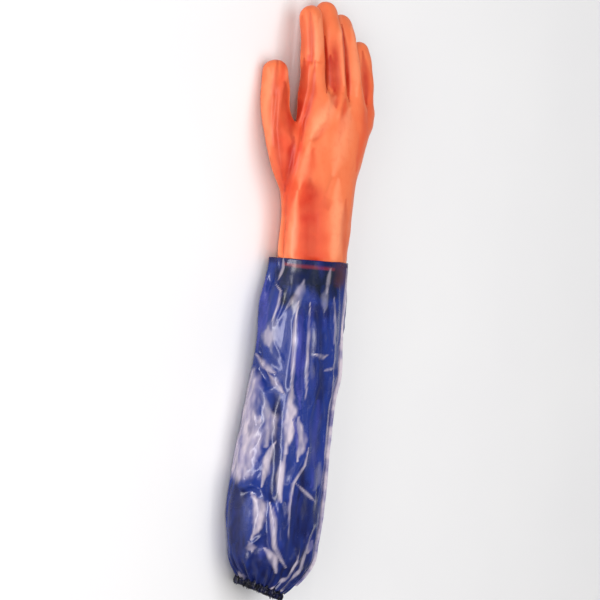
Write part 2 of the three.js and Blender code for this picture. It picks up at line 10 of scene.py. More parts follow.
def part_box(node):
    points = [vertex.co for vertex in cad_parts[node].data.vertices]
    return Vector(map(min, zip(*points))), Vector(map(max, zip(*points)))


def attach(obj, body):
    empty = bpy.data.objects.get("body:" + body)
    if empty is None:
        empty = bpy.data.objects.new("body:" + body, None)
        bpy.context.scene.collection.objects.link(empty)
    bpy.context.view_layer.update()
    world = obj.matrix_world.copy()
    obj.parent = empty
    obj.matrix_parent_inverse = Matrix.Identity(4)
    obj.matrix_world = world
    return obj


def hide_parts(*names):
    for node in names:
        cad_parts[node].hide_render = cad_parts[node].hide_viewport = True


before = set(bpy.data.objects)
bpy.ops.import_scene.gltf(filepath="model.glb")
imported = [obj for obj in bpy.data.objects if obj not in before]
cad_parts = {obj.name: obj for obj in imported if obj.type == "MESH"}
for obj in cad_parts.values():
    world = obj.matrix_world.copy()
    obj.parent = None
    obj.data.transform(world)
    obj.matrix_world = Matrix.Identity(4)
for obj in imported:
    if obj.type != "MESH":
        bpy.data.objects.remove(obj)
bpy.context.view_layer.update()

MM = 0.001
FULL_TURN = 360

# Where the glove's own frame lies in the part's frame, in millimetres. Its zero is the joint of cuff and
# sleeve, below the middle of the wrist; +Y runs to the fingertips and -X is the thumb's side.
JOINT_PLACE = np.array((10.533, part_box("film_sleeve")[1][1] / MM, 0.0))

# The picture's plane: square to a line of sight from the thumb's side, 40 degrees above the surface.
SIGHT_HEIGHT = math.radians(40)
ACROSS = np.array((math.sin(SIGHT_HEIGHT), 0, math.cos(SIGHT_HEIGHT)))
TO_EYE = np.array((-math.cos(SIGHT_HEIGHT), 0, math.sin(SIGHT_HEIGHT)))
LEAN = math.radians(4.6)
MM_PER_PIXEL = 1.0024
JOINT_PIXEL = np.array((312.2, 260.4))
JOINT_HEIGHT = 28.7
PICTURE_SIZE = 600


def picture_place(points):
    """The picture's pixels at which points of the glove's own frame are seen."""
    across = points @ ACROSS - JOINT_HEIGHT * ACROSS[2]
    along = points[..., 1]
    right = across * math.cos(LEAN) + along * math.sin(LEAN)
    up = along * math.cos(LEAN) - across * math.sin(LEAN)
    return np.stack((JOINT_PIXEL[0] + right / MM_PER_PIXEL, JOINT_PIXEL[1] - up / MM_PER_PIXEL), -1)


def ease(low, high, value):
    """0 below low, 1 above high and smooth between them."""
    t = np.clip((value - low) / (high - low), 0, 1)
    return t * t * (3 - 2 * t)


def blend(a, b, share):
    return a + (b - a) * share


class Rows:
    """A table of sections, read smoothly between its rows. The first column is the place along the piece."""

    def __init__(self, columns, *rows):
        self.columns = dict(zip(columns.split(), np.array(rows, float).T))
        self.place = next(iter(self.columns.values()))

    def read(self, column, at):
        p, v = self.place, self.columns[column]
        slope = np.empty_like(v)
        slope[1:-1] = (v[2:] - v[:-2]) / (p[2:] - p[:-2])
        slope[0] = (v[1] - v[0]) / (p[1] - p[0])
        slope[-1] = (v[-1] - v[-2]) / (p[-1] - p[-2])
        at = np.clip(at, p[0], p[-1])
        i = np.clip(np.searchsorted(p, at, side="right") - 1, 0, len(p) - 2)
        span = p[i + 1] - p[i]
        t = (at - p[i]) / span
        rise = t * t * (3 - 2 * t)
        leave = t * (1 - t) ** 2
        arrive = t * t * (t - 1)
        return blend(v[i], v[i + 1], rise) + span * (leave * slope[i] + arrive * slope[i + 1])


def table(columns, *rows):
    """Rows as dictionaries by their columns' names. A last column named line takes the rest of a row."""
    names = columns.split()
    if names[-1] == "line":
        width = len(names) - 1
        rows = [(*row[:width], row[width:]) for row in rows]
    return [dict(zip(names, row)) for row in rows]


def smooth_noise(points, size, seed):
    """Soft noise from -1 to 1 at each point, with lumps of the given size."""
    size = np.broadcast_to(np.asarray(size, float), (3,))
    places = points.reshape(-1, 3) / size + np.array((seed * 7.31, seed * 3.17, seed * 5.53))
    values = [noise.noise(place) for place in places]
    return np.array(values).reshape(points.shape[:-1])


def drift(points, *grains):
    """Soft noise of several directions, each from its size of lumps and its seed."""
    return np.stack([smooth_noise(points, size, seed) for size, seed in grains], -1)


# The coated hand

PALM_LENGTH = 158
PALM_WIDTH = 108
PALM_DEPTH = 33
KNUCKLE_HEIGHT = 36
KNUCKLE_SLANT = 15
WRIST_WIDTH = 84
WRIST_DEPTH = 54
WRIST_MIDDLE = 28.5
CUFF_TUCK = 36
COAT_WALL = 1.8
INNER_SHARE = 0.72
THUMB_REACH = 199
THUMB_FILLET = 12
FINGER_FILLET = 8
CROTCH_FILLET = 1.2
KNUCKLE_FILLET = 8
WEB_WIDTH = 42
WEB_DEPTH = 32
WEB_MIDDLE = 0.63
WEB_HALF = 0.2
WEB_FILLET = 26
PALM_FILLET = 10
SECTION_POWER = 2.17
DIGIT_POWER = 2.1
TIP_POWER = 2.4
DIGIT_ROOT = 2.15
TIP_SHARE = 0.98
FAR = 30.0
SEEN_BY = 0.4
CUFF_EDGE = (-2, 4)
# Heights in millimetres over which painted shade deepens the coat in the dips, and a painted highlight pales
# it on the crests.
SHADE_DIP_DEPTHS = (0.6, -4.4)
HIGHLIGHT_CREST_HEIGHTS = (0.2, 2.0)

PALM = Rows(
    "along shift lift wide deep cup slant",
    (-0.24, 0.0, 0.0, -0.04, 0.04, 0.0, 0.0),
    (0.0, 0.0, 0.0, 0.0, 0.0, 0.0, 0.0),
    (0.14, 0.003, 0.04, 0.02, 0.02, 0.0, 0.0),
    (0.26, 0.003, 0.12, 0.06, 0.05, 0.0, 0.0),
    (0.41, 0.0, 0.3, 0.2, 0.12, 0.03, 0.0),
    (0.53, -0.003, 0.5, 0.36, 0.22, 0.08, 0.0),
    (0.66, 0.015, 0.78, 0.54, 0.38, 0.12, 0.1),
    (0.78, 0.05, 1.0, 0.66, 0.53, 0.15, 0.3),
    (0.89, 0.077, 1.08, 0.88, 0.74, 0.12, 0.6),
    (0.96, 0.085, 1.07, 0.98, 0.94, 0.08, 0.9),
    (1.01, 0.09, 1.06, 0.98, 1.12, 0.04, 1.0),
    (1.05, 0.092, 1.05, 0.9, 1.34, 0.0, 1.0),
    (1.1, 0.094, 1.04, 0.7, 1.72, 0.0, 1.0),
)
PALM_END = 1.04

# The fingers' paths: share of the finger's length past the knuckles, share of the palm's width, share of
# the knuckles' height.
FINGERS = {
    "index": (96, 25, ((-0.16, -0.258, 1.02), (0.16, -0.27, 0.99), (0.48, -0.275, 0.91),
                       (0.72, -0.27, 0.81), (0.89, -0.26, 0.69), (1.0, -0.257, 0.58))),
    "middle": (101, 24.6, ((-0.15, 0.0, 1.11), (0.24, -0.005, 1.06), (0.46, -0.009, 0.96),
                           (0.7, 0.0, 0.79), (0.88, 0.033, 0.53), (1.0, 0.06, 0.36))),
    "ring": (90, 24, ((-0.17, 0.247, 1.1), (0.06, 0.247, 1.11), (0.28, 0.243, 1.04), (0.52, 0.238, 0.9),
                      (0.76, 0.241, 0.72), (0.9, 0.26, 0.5), (1.0, 0.29, 0.38))),
    "little": (66, 22.4, ((-0.22, 0.465, 0.94), (0.0, 0.482, 0.92), (0.33, 0.486, 0.89),
                          (0.71, 0.477, 0.76), (0.87, 0.487, 0.64), (1.0, 0.505, 0.56))),
}
FINGER_GIRTH = Rows(
    "at wide deep",
    (0.0, 1.0, 1.08),
    (0.2, 1.03, 1.04),
    (0.4, 0.98, 0.99),
    (0.58, 1.02, 0.98),
    (0.72, 0.98, 0.96),
    (0.86, 0.97, 0.94),
    (1.0, 0.95, 0.93),
)
THUMB_PATH = ((0.26, -0.15, 0.83), (0.31, -0.24, 0.83), (0.39, -0.35, 0.83), (0.5, -0.465, 0.77),
              (0.6, -0.545, 0.66), (0.73, -0.59, 0.53), (0.87, -0.58, 0.41), (1.0, -0.57, 0.33))
THUMB_WIDTH = 29.6
THUMB_GIRTH = Rows(
    "at wide deep",
    (0.0, 1.0, 1.0),
    (0.15, 1.08, 1.0),
    (0.3, 1.12, 0.98),
    (0.44, 1.07, 0.98),
    (0.58, 1.01, 0.97),
    (0.7, 1.0, 0.96),
    (0.82, 0.96, 0.94),
    (1.0, 0.93, 0.92),
)
WEB = Rows(
    "along across lift wide deep tilt",
    (0.42, -0.25, 0.88, 0.9, 1.0, 8),
    (0.56, -0.36, 0.9, 1.0, 0.9, 20),
    (0.69, -0.425, 0.9, 0.95, 0.68, 30),
    (0.78, -0.46, 0.88, 0.8, 0.46, 36),
    (0.84, -0.48, 0.86, 0.5, 0.26, 40),
)

ORANGE = (0.86, 0.19, 0.07)
# Then painted light: a deep red of painted shade for the dips, grooves and crotches, a darker orange of
# painted shade over broad shaded zones, and a pale orange painted highlight on the ridges and swellings.
SHADE_IN_DIPS = (0.46, 0.014, 0.005)
SHADED = (0.7, 0.045, 0.014)
PAINTED_HIGHLIGHT = (0.98, 0.34, 0.17)
VOXEL = 1.3
HAND_LOW = np.array((-84.0, -40.0, -5.0))
HAND_HIGH = np.array((74.0, 268.0, 66.0))


def soft_union(a, b, reach):
    """Both forms in one, with a fillet of about reach where they meet."""
    share = np.clip(0.5 + 0.5 * (b - a) / reach, 0, 1)
    return blend(b, a, share) - reach * share * (1 - share)


def oval_distance(dx, dz, half_x, half_z, power):
    """About how far a point is outside a fullish oval."""
    px, pz = np.abs(dx) / half_x + 1e-6, np.abs(dz) / half_z + 1e-6
    g = (px**power + pz**power) ** (1 / power)
    steep = g ** (1 - power) * np.hypot(px ** (power - 1) / half_x, pz ** (power - 1) / half_z)
    return (g - 1) / steep


def palm_breadth(along):
    """The palm's middle across and half its width, at shares of its length."""
    wide = blend(WRIST_WIDTH, PALM_WIDTH, PALM.read("wide", along))
    return PALM.read("shift", along) * PALM_WIDTH, wide / 2


def palm_form(x, y, z):
    """About how far places are outside the palm, wrist and cuff."""
    x2, y2 = x[:, :, 0], y[:, :, 0]
    along = y2 / PALM_LENGTH
    middle, half_width = palm_breadth(along)
    turn = np.clip((x2 - middle) / half_width, -1, 1)
    along = along + PALM.read("slant", along) * KNUCKLE_SLANT / 2 * turn / PALM_LENGTH
    middle, half_width = palm_breadth(along)
    half_depth = blend(WRIST_DEPTH, PALM_DEPTH, PALM.read("deep", along)) / 2
    height = blend(WRIST_MIDDLE, KNUCKLE_HEIGHT, PALM.read("lift", along))
    cup = PALM.read("cup", along) * PALM_DEPTH
    dz = z - height[:, :, None]
    half_z = np.where(dz < 0, (half_depth - cup)[:, :, None], half_depth[:, :, None])
    side = oval_distance((x2 - middle)[:, :, None], dz, half_width[:, :, None], half_z, SECTION_POWER)
    end = ((along - PALM_END) * PALM_LENGTH)[:, :, None]
    return -soft_union(-side, -end, PALM_FILLET)


def web_form(x, y, z):
    """About how far places are outside the web between palm and thumb."""
    along = y[0, :, 0] / PALM_LENGTH
    tilt = np.radians(WEB.read("tilt", along))[None, :, None]
    dx = x - (WEB.read("across", along) * PALM_WIDTH)[None, :, None]
    dz = z - (WEB.read("lift", along) * KNUCKLE_HEIGHT)[None, :, None]
    flat = dx * np.cos(tilt) + dz * np.sin(tilt)
    rise = dz * np.cos(tilt) - dx * np.sin(tilt)
    half_x = (WEB.read("wide", along) * WEB_WIDTH / 2)[None, :, None]
    half_z = (WEB.read("deep", along) * WEB_DEPTH / 2)[None, :, None]
    side = oval_distance(flat, rise, half_x, half_z, 2)
    ends = (np.abs(along - WEB_MIDDLE) - WEB_HALF) * PALM_LENGTH
    return -soft_union(-side, -ends[None, :, None], WEB_FILLET)


def curve_through(points, steps):
    """Points evenly spaced along a smooth curve through the given ones, and its directions."""
    points = np.asarray(points, float)
    knots = np.concatenate(((0,), np.cumsum(np.linalg.norm(np.diff(points, axis=0), axis=1) ** 0.75)))
    curve = Rows("knot x y z", *np.column_stack((knots, points)))
    fine = np.linspace(0, knots[-1], steps * 4)
    path = np.stack([curve.read(axis, fine) for axis in "xyz"], -1)
    length = np.concatenate(((0,), np.cumsum(np.linalg.norm(np.diff(path, axis=0), axis=1))))
    even = np.linspace(0, length[-1], steps)
    path = np.stack([np.interp(even, length, path[:, axis]) for axis in range(3)], -1)
    ahead = np.gradient(path, axis=0)
    return path, ahead / np.linalg.norm(ahead, axis=1)[:, None], length[-1]


def digit_form(grid, points, girth, width, reach):
    """About how far places are outside a finger or the thumb, in a box round it, and where that box is."""
    x, y, z = grid
    path, ahead, length = curve_through(points, 70)
    tip = width / 2 * TIP_SHARE
    path, ahead, _ = curve_through(path[even_until(path, length - tip)], 60)
    margin = width / 2 + reach + 3
    box = np.array((path.min(0) - margin, path.max(0) + margin))
    cut = tuple(slice(*np.searchsorted(line, box[:, i])) for i, line in enumerate((x[:, 0, 0], y[0, :, 0])))
    place = np.stack([axis[cut] for axis in (x, y, z)], -1)
    nearest = np.full(place.shape[:3], 1e9)
    index = np.zeros(place.shape[:3], int)
    for i, point in enumerate(path):
        far = ((place - point) ** 2).sum(-1)
        closer = far < nearest
        nearest[closer] = far[closer]
        index[closer] = i
    at = index / (len(path) - 1)
    side = np.cross(ahead, (0, 0, 1))
    side /= np.linalg.norm(side, axis=1)[:, None]
    up = np.cross(side, ahead)
    off = place - path[index]
    a = (off * side[index]).sum(-1)
    b = (off * up[index]).sum(-1)
    over = (off * ahead[index]).sum(-1) * ((index == 0) | (index == len(path) - 1))
    half_wide = girth.read("wide", at) * width / 2
    half_deep = half_wide * girth.read("deep", at)
    g = (np.abs(a) / half_wide) ** DIGIT_POWER + (np.abs(b) / half_deep) ** DIGIT_POWER
    g += (np.abs(over) / tip) ** TIP_POWER
    g = np.maximum(g, 1e-6) ** (1 / DIGIT_ROOT)
    return cut, (g - 1) * np.minimum(half_wide, half_deep)


def even_until(path, reach):
    """The indexes of a path's points up to a distance along it."""
    gone = np.concatenate(((0,), np.cumsum(np.linalg.norm(np.diff(path, axis=0), axis=1))))
    return np.nonzero(gone <= reach)[0]


def hand_field():
    """About how far the places of a grid are outside the hand."""
    counts = np.ceil((HAND_HIGH - HAND_LOW) / VOXEL).astype(int)
    axes = [HAND_LOW[i] + VOXEL * np.arange(counts[i]) for i in range(3)]
    x, y, z = np.meshgrid(*axes, indexing="ij")
    field = soft_union(palm_form(x, y, z), web_form(x, y, z), THUMB_FILLET)
    thumb_points = [(a * PALM_WIDTH, l * THUMB_REACH, h * KNUCKLE_HEIGHT) for l, a, h in THUMB_PATH]
    cut, form = digit_form((x, y, z), thumb_points, THUMB_GIRTH, THUMB_WIDTH, THUMB_FILLET)
    field[cut] = soft_union(field[cut], form, THUMB_FILLET)
    fingers = np.full(field.shape, FAR)
    for length, width, rows in FINGERS.values():
        points = [(a * PALM_WIDTH, PALM_LENGTH + l * length, h * KNUCKLE_HEIGHT) for l, a, h in rows]
        cut, form = digit_form((x, y, z), points, FINGER_GIRTH, width, FINGER_FILLET)
        fingers[cut] = soft_union(fingers[cut], form, CROTCH_FILLET)
    return soft_union(field, fingers, KNUCKLE_FILLET)


# Creases and swellings of the hand's skin, by the places where the picture shows them. half is the half
# width in pixels, rise the height in millimetres, negative for a dip, and fade how many pixels its ends take
# to rise, or 0 for three half widths.
HAND_MARKS = table(
    "name half rise fade line",
    ("groove of the index finger", 2.8, -1.2, 0, (309, 8), (311, 30), (311, 66)),
    ("ridge beside the groove", 2.6, 1.2, 0, (315, 14), (317, 40), (316, 70)),
    ("line across the index", 1.5, -0.7, 0, (301, 63), (312, 62.5), (325, 63.5)),
    ("index to wrist, first ridge", 2.2, 1.9, 8, (310, 64), (308.5, 90), (303.5, 112), (299.8, 124),
     (298.8, 139), (297, 152), (294, 166), (289.6, 180), (285.4, 194), (283, 212), (281.3, 231), (280, 250),
     (279, 264)),
    ("index to wrist, groove", 1.9, -1.5, 8, (313.5, 72), (311.5, 92), (305.5, 113), (301.8, 124),
     (300.4, 139), (298.6, 152), (295.6, 166), (291.3, 179), (287.4, 192), (285, 205), (283.6, 231),
     (282, 256)),
    ("index to wrist, second ridge", 2.0, 1.3, 8, (306, 118), (303.2, 139), (301.4, 152), (298, 166),
     (294, 178), (290, 191), (287, 205), (285.6, 232), (284.5, 262)),
    ("dip of the middle finger", 6.2, -3.6, 26, (334, 44), (337, 60), (338, 78), (338.5, 98)),
    ("side ridge of the middle finger", 2.6, 1.2, 0, (340, 30), (343.5, 56), (344, 92)),
    ("dip at the middle knuckle", 5.0, -2.0, 0, (338, 98), (336, 112)),
    ("ridge from the first crotch", 3.2, 1.1, 0, (327.5, 90), (329.5, 98), (325.5, 115), (321, 127)),
    ("ridge from the second crotch", 3.4, 1.5, 0, (342, 92), (340.5, 107), (337, 122)),
    ("hollow of the knuckles", 5.0, -1.2, 0, (345, 104), (346, 118)),
    ("slanted wrinkle", 3.4, -2.0, 0, (326, 126), (320, 135), (313, 144)),
    ("slanted wrinkle's lip", 3.0, 1.1, 0, (320, 124), (314, 132), (308, 142)),
    ("fine wrinkle", 1.5, -0.6, 0, (331, 122), (326, 129), (322, 132)),
    ("broad dip above the wrist", 11.5, -4.2, 34, (310, 192), (311, 228), (313, 280)),
    ("dip's upper edge", 5.0, -0.8, 0, (304, 196), (311, 188), (328, 199)),
    ("streak in the dip", 3.0, 0.6, 0, (306, 222), (306, 240), (305, 258)),
    ("second streak", 3.0, -0.8, 0, (317, 208), (318, 232), (317, 262)),
    ("swelling at the outer side", 7.0, 1.8, 0, (338, 200), (336, 232), (334, 262)),
    ("swelling beside the dip", 4.0, 1.2, 0, (297, 196), (293, 222), (291, 262)),
    ("thumb ridge", 2.8, 2.2, 7, (286, 70), (284.5, 82), (280.5, 94), (278.5, 110), (277, 130), (279, 150),
     (283, 172), (285, 190)),
    ("second thumb ridge", 2.4, 1.0, 0, (274, 96), (272.5, 112), (271, 130), (272, 150)),
    ("thumb valley", 3.2, -1.4, 0, (276, 92), (275, 112), (274, 130), (276, 152)),
    ("thumb hollow", 4.6, -2.0, 0, (287, 96), (286.5, 116), (287, 134)),
    ("web hollow", 5.6, -3.6, 18, (293, 144), (291.5, 160), (287.5, 178), (284, 194)),
    ("outer heel wrinkle", 2.4, -0.7, 0, (336, 172), (330, 186), (326, 196)),
    ("inner heel wrinkle", 3.0, -0.8, 0, (290, 214), (294, 232), (293, 254)),
)

# Painted shade and painted highlights on the coat: deep shade in the dips, grooves and crotches, broader shade
# where the hand's sides lie in shade, and highlights on the ridges and swellings. share is how much a patch
# covers, half its half width in pixels, soft how gradual its edge is and even 1 where its ends are as broad as
# its middle.
HAND_PAINTED_SHADING = table(
    "colour share half soft even line",
    (SHADED, 0.85, 17, 0.9, 1, (309, 206), (311, 232), (311, 290)),
    (SHADED, 0.85, 11, 0.9, 0, (283, 64), (283, 96), (284, 130), (284, 166), (286, 214)),
    (SHADED, 0.75, 8, 0.9, 0, (309, 58), (307, 84), (303, 112), (298, 150)),
    (SHADED, 0.6, 5, 1.0, 0, (303, 120), (299, 150), (293, 180), (287, 230)),
    (SHADED, 0.6, 6, 1.0, 0, (314, 150), (308, 172), (303, 196)),
    (SHADED, 0.5, 5, 1.0, 0, (366, 60), (369, 90), (366, 130), (356, 170)),
    (SHADED, 0.55, 4, 1.0, 0, (345, 100), (344, 122), (339, 140)),
    (PAINTED_HIGHLIGHT, 0.6, 4, 1.0, 0, (320, 20), (319, 44), (318, 62)),
    (PAINTED_HIGHLIGHT, 0.55, 3.5, 1.0, 0, (340, 10), (344, 50), (344.5, 86)),
    (PAINTED_HIGHLIGHT, 0.55, 4, 1.0, 0, (352, 26), (357, 60), (356.5, 96)),
    (PAINTED_HIGHLIGHT, 0.75, 6, 1.0, 0, (336, 98), (323, 120), (311, 140)),
    (PAINTED_HIGHLIGHT, 0.6, 7, 1.0, 0, (350, 108), (342, 140), (334, 176)),
    (PAINTED_HIGHLIGHT, 0.5, 4, 1.0, 0, (310, 144), (304, 166), (299, 190)),
    (PAINTED_HIGHLIGHT, 0.65, 5, 1.0, 0, (338, 180), (336, 222), (334, 276)),
    (PAINTED_HIGHLIGHT, 0.55, 4, 1.0, 0, (297, 192), (293, 228), (291, 266)),
    (PAINTED_HIGHLIGHT, 0.5, 5, 1.0, 0, (269, 70), (267, 112), (270, 156)),
    (SHADE_IN_DIPS, 1.0, 5.2, 0.7, 0, (330.5, 56), (331.5, 76), (334, 92)),
    (SHADE_IN_DIPS, 0.5, 3.5, 0.9, 0, (334, 90), (336, 108)),
    (SHADE_IN_DIPS, 0.95, 1.8, 0.8, 0, (325, 36), (327, 66), (326.5, 94)),
    (SHADE_IN_DIPS, 0.9, 2.4, 0.8, 0, (342, 24), (345.5, 50), (347.5, 75), (349, 102)),
    (SHADE_IN_DIPS, 0.8, 3.0, 0.8, 0, (363, 50), (366, 78), (367, 104)),
    (SHADE_IN_DIPS, 0.45, 2.6, 0.9, 0, (310.5, 14), (312, 40), (312, 66)),
    (SHADE_IN_DIPS, 0.75, 4.2, 0.9, 0, (304, 60), (303, 92), (297, 122)),
    (SHADE_IN_DIPS, 0.65, 2.6, 0.9, 0, (315, 62), (313, 94), (306, 118), (301, 142)),
    (SHADE_IN_DIPS, 0.9, 5.2, 0.9, 0, (285, 84), (288, 112), (292, 144)),
    (SHADE_IN_DIPS, 0.65, 4.4, 1.0, 0, (277, 62), (275, 104), (277, 140), (283, 180)),
    (SHADE_IN_DIPS, 0.4, 2.4, 1.0, 0, (287, 196), (285, 228), (284, 258)),
    (SHADE_IN_DIPS, 0.35, 5, 1.0, 0, (303, 18), (303, 36), (304, 58)),
    (SHADE_IN_DIPS, 1.0, 4.0, 0.8, 0, (294, 138), (290, 164), (285, 192)),
    (SHADE_IN_DIPS, 0.6, 9, 1.0, 0, (311, 180), (311, 214), (309, 276)),
    (SHADE_IN_DIPS, 0.3, 6, 1.0, 0, (324, 198), (328, 210)),
    (SHADE_IN_DIPS, 0.35, 3.0, 1.0, 0, (346, 200), (344, 230), (344, 262)),
    (SHADE_IN_DIPS, 0.25, 3.4, 1.0, 0, (323, 130), (312, 142)),
)


def near_line(line, pixels):
    """How far each pixel place is from a line, and how far along the line its nearest point is."""
    line = np.array(line, float)
    runs = np.linalg.norm(np.diff(line, axis=0), axis=1)
    gone = np.concatenate(((0,), np.cumsum(runs)))
    nearest = np.full(pixels.shape[:-1], 1e9)
    where = np.zeros(nearest.shape)
    for i, run in enumerate(runs):
        step = line[i + 1] - line[i]
        t = np.clip(((pixels - line[i]) @ step) / run**2, 0, 1)
        far = np.linalg.norm(pixels - line[i] - t[..., None] * step, axis=-1)
        closer = far < nearest
        nearest = np.where(closer, far, nearest)
        where = np.where(closer, gone[i] + t * run, where)
    return nearest, where, gone[-1]


def marks_height(marks, pixels):
    """The height in millimetres that a table's lines give at each pixel place."""
    total = np.zeros(pixels.shape[:-1])
    for mark in marks:
        nearest, where, length = near_line(mark["line"], pixels)
        fade = mark.get("fade") or 3 * mark["half"]
        ends = ease(0, fade, where + 0.4 * fade) * ease(0, fade, length - where + 0.4 * fade)
        off = nearest / mark["half"]
        if mark.get("sharp"):
            profile = np.exp(-1.2 * off) * ease(3.2, 1.6, off)
        else:
            profile = np.exp(-off * off)
        total += mark["rise"] * profile * ends
    return total


def tinted(patches, ground, pixels, share, astray):
    """Colours at each point: the ground colour under a table's soft patches. astray is how far the edges of
    broad patches wander. A patch runs to points at its ends, unless it is even."""
    colours = np.broadcast_to(np.array(ground, float), (*pixels.shape[:-1], 3)).copy()
    for patch in patches:
        nearest, where, length = near_line(patch["line"], pixels + astray * ease(1.5, 6, patch["half"]))
        soft, half = patch["soft"], patch["half"]
        if not patch["even"]:
            half = half * (0.2 + 0.8 * ease(-0.06, 0.4, where / length) * ease(1.06, 0.6, where / length))
        cover = patch["share"] * ease(1 + soft, 1 - soft, nearest / half) * share
        colours = blend(colours, np.array(patch["colour"], float), cover[..., None])
    return colours


def added(name, data):
    """A new object in the scene."""
    made = bpy.data.objects.new(name, data)
    bpy.context.scene.collection.objects.link(made)
    return made


def smooth_mesh(name, points, faces):
    mesh = bpy.data.meshes.new(name)
    mesh.from_pydata(points, [], faces)
    mesh.polygons.foreach_set("use_smooth", np.ones(len(mesh.polygons), bool))
    mesh.update()
    return mesh


def mesh_object(name, points, faces, material, colour_and_painted_light=None):
    """An object in the part's frame from points in the glove's own frame."""
    mesh = smooth_mesh(name, ((points + JOINT_PLACE) * MM).tolist(), faces)
    mesh.materials.append(material)
    if colour_and_painted_light is not None:
        # The points' colour, painted light and shade included, for the material to read.
        layer = mesh.color_attributes.new(name="colour_and_painted_light", type="FLOAT_COLOR", domain="POINT")
        layer.data.foreach_set("color", np.column_stack((colour_and_painted_light, np.ones(len(colour_and_painted_light)))).ravel())
    return added(name, mesh)


def evaluated_mesh(piece):
    bpy.context.view_layer.update()
    return bpy.data.meshes.new_from_object(piece.evaluated_get(bpy.context.evaluated_depsgraph_get()))


def face_outwards(piece):
    mesh = bmesh.new()
    mesh.from_mesh(piece.data)
    bmesh.ops.recalc_face_normals(mesh, faces=mesh.faces)
    mesh.to_mesh(piece.data)
    mesh.free()


def quad_normals(points, faces):
    a, b, c, d = (points[faces[:, i]] for i in range(4))
    return np.cross(c - a, d - b)


def edges_of(faces):
    return np.concatenate([faces[:, (i, (i + 1) % 4)] for i in range(4)])


def vertex_normals(points, faces):
    """Outward directions at the points of a mesh of quads."""
    square = quad_normals(points, faces)
    normals = np.zeros_like(points)
    for i in range(4):
        np.add.at(normals, faces[:, i], square)
    return normals / np.maximum(np.linalg.norm(normals, axis=1), 1e-12)[:, None]


def facing_out(points, quads):
    """The quads, turned if need be so that their fronts face away from the form's middle."""
    outwards = (quad_normals(points, quads) * (points[quads[:, 0]] - points.mean(0))).sum()
    return quads if outwards > 0 else quads[:, ::-1]


def relax(points, faces, rounds):
    """Moves each point to the middle of its neighbours a few times."""
    edges = edges_of(faces)
    count = np.bincount(edges.ravel(), minlength=len(points))[:, None]
    for _ in range(rounds):
        total = np.zeros_like(points)
        np.add.at(total, edges[:, 0], points[edges[:, 1]])
        np.add.at(total, edges[:, 1], points[edges[:, 0]])
        points = blend(points, total / count, 0.6)
    return points


def walled(points, faces, wall):
    """A thin wall: the quads, their copy moved in, and a rim along every open edge."""
    normals = vertex_normals(points, faces)
    count = len(points)
    edges = edges_of(faces)
    key = np.sort(edges, axis=1)
    order = np.lexsort(key.T)
    same = np.zeros(len(edges), bool)
    pairs = (key[order][1:] == key[order][:-1]).all(1)
    same[order[1:][pairs]] = True
    same[order[:-1][pairs]] = True
    rim = edges[~same]
    rim_faces = np.column_stack((rim[:, 1], rim[:, 0], rim[:, 0] + count, rim[:, 1] + count))
    inner = faces[:, ::-1] + count
    return np.concatenate((points, points - normals * wall)), np.concatenate((faces, inner, rim_faces))


def thin_out(piece, hidden, share):
    """Leaves a share of the triangles, and takes the rest from a piece's hidden points."""
    piece.vertex_groups.new(name="hidden").add(list(hidden), 1, "REPLACE")
    modifier = piece.modifiers.new("thin_out", "DECIMATE")
    modifier.ratio = share
    modifier.vertex_group = "hidden"
    mesh = evaluated_mesh(piece)
    piece.modifiers.remove(modifier)
    piece.vertex_groups.clear()
    mesh.name = piece.name
    piece.data = mesh


def hand_skin():
    """The bare hand's skin, from its field: its points and quads, cut open at the cuff's end."""
    grid = openvdb.FloatGrid()
    grid.copyFromArray(hand_field().astype(np.float32))
    points, quads = grid.convertToQuads(isovalue=0.0)
    points = HAND_LOW + points.astype(float) * VOXEL
    quads = quads[points[quads][:, :, 1].min(1) > -CUFF_TUCK].astype(int)
    used = np.unique(quads)
    renumber = np.full(len(points), -1)
    renumber[used] = np.arange(len(used))
    points, quads = points[used], renumber[quads]
    quads = facing_out(points, quads)
    return relax(points, quads, 3), quads


def make_hand(material):
    """The dipped hand: its skin with creases and swellings, its colour with painted shade in the dips and
    painted highlights on the crests, and a wall.
    """
    points, quads = hand_skin()
    normals = vertex_normals(points, quads)
    seen = ease(0.0, SEEN_BY, normals @ TO_EYE)
    height = marks_height(HAND_MARKS, picture_place(points)) * seen
    bare = ease(*CUFF_EDGE, points[:, 1])
    lumps = 0.6 * smooth_noise(points, 30, 1) + 0.35 * smooth_noise(points, (9, 18, 9), 2)
    unseen = 1.3 * smooth_noise(points, (16, 34, 16), 4) - 0.5 * np.abs(smooth_noise(points, (8, 16, 8), 6))
    away = (1 - seen) * unseen
    points = points + normals * ((height + lumps + away) * bare)[:, None]
    points[:, 2] = np.maximum(points[:, 2], 0.1)
    points = relax(points, quads, 1)
    # Painted shade: the coat's colour deepens towards a deep red in the dips.
    depth = ease(*SHADE_DIP_DEPTHS, height + 0.7 * lumps + away)
    # Painted highlight: the coat's colour pales on the crests.
    crest_highlight = ease(*HIGHLIGHT_CREST_HEIGHTS, height)
    colour_and_painted_light = blend(np.array(ORANGE), np.array(SHADE_IN_DIPS), depth[:, None])
    colour_and_painted_light = blend(colour_and_painted_light, np.array(PAINTED_HIGHLIGHT), 0.7 * crest_highlight[:, None])
    # Then the table's patches of painted shade and painted highlight.
    astray = 2 * drift(points, (12, 41), (12, 42))
    colour_and_painted_light = tinted(HAND_PAINTED_SHADING, colour_and_painted_light, picture_place(points), seen * bare, astray)
    outside = len(points)
    points, faces = walled(points, quads, COAT_WALL)
    hand = mesh_object("coated_hand", points, faces.tolist(), material, np.concatenate((colour_and_painted_light, colour_and_painted_light)))
    thin_out(hand, range(outside, len(points)), INNER_SHARE)
    return hand


# The film sleeve

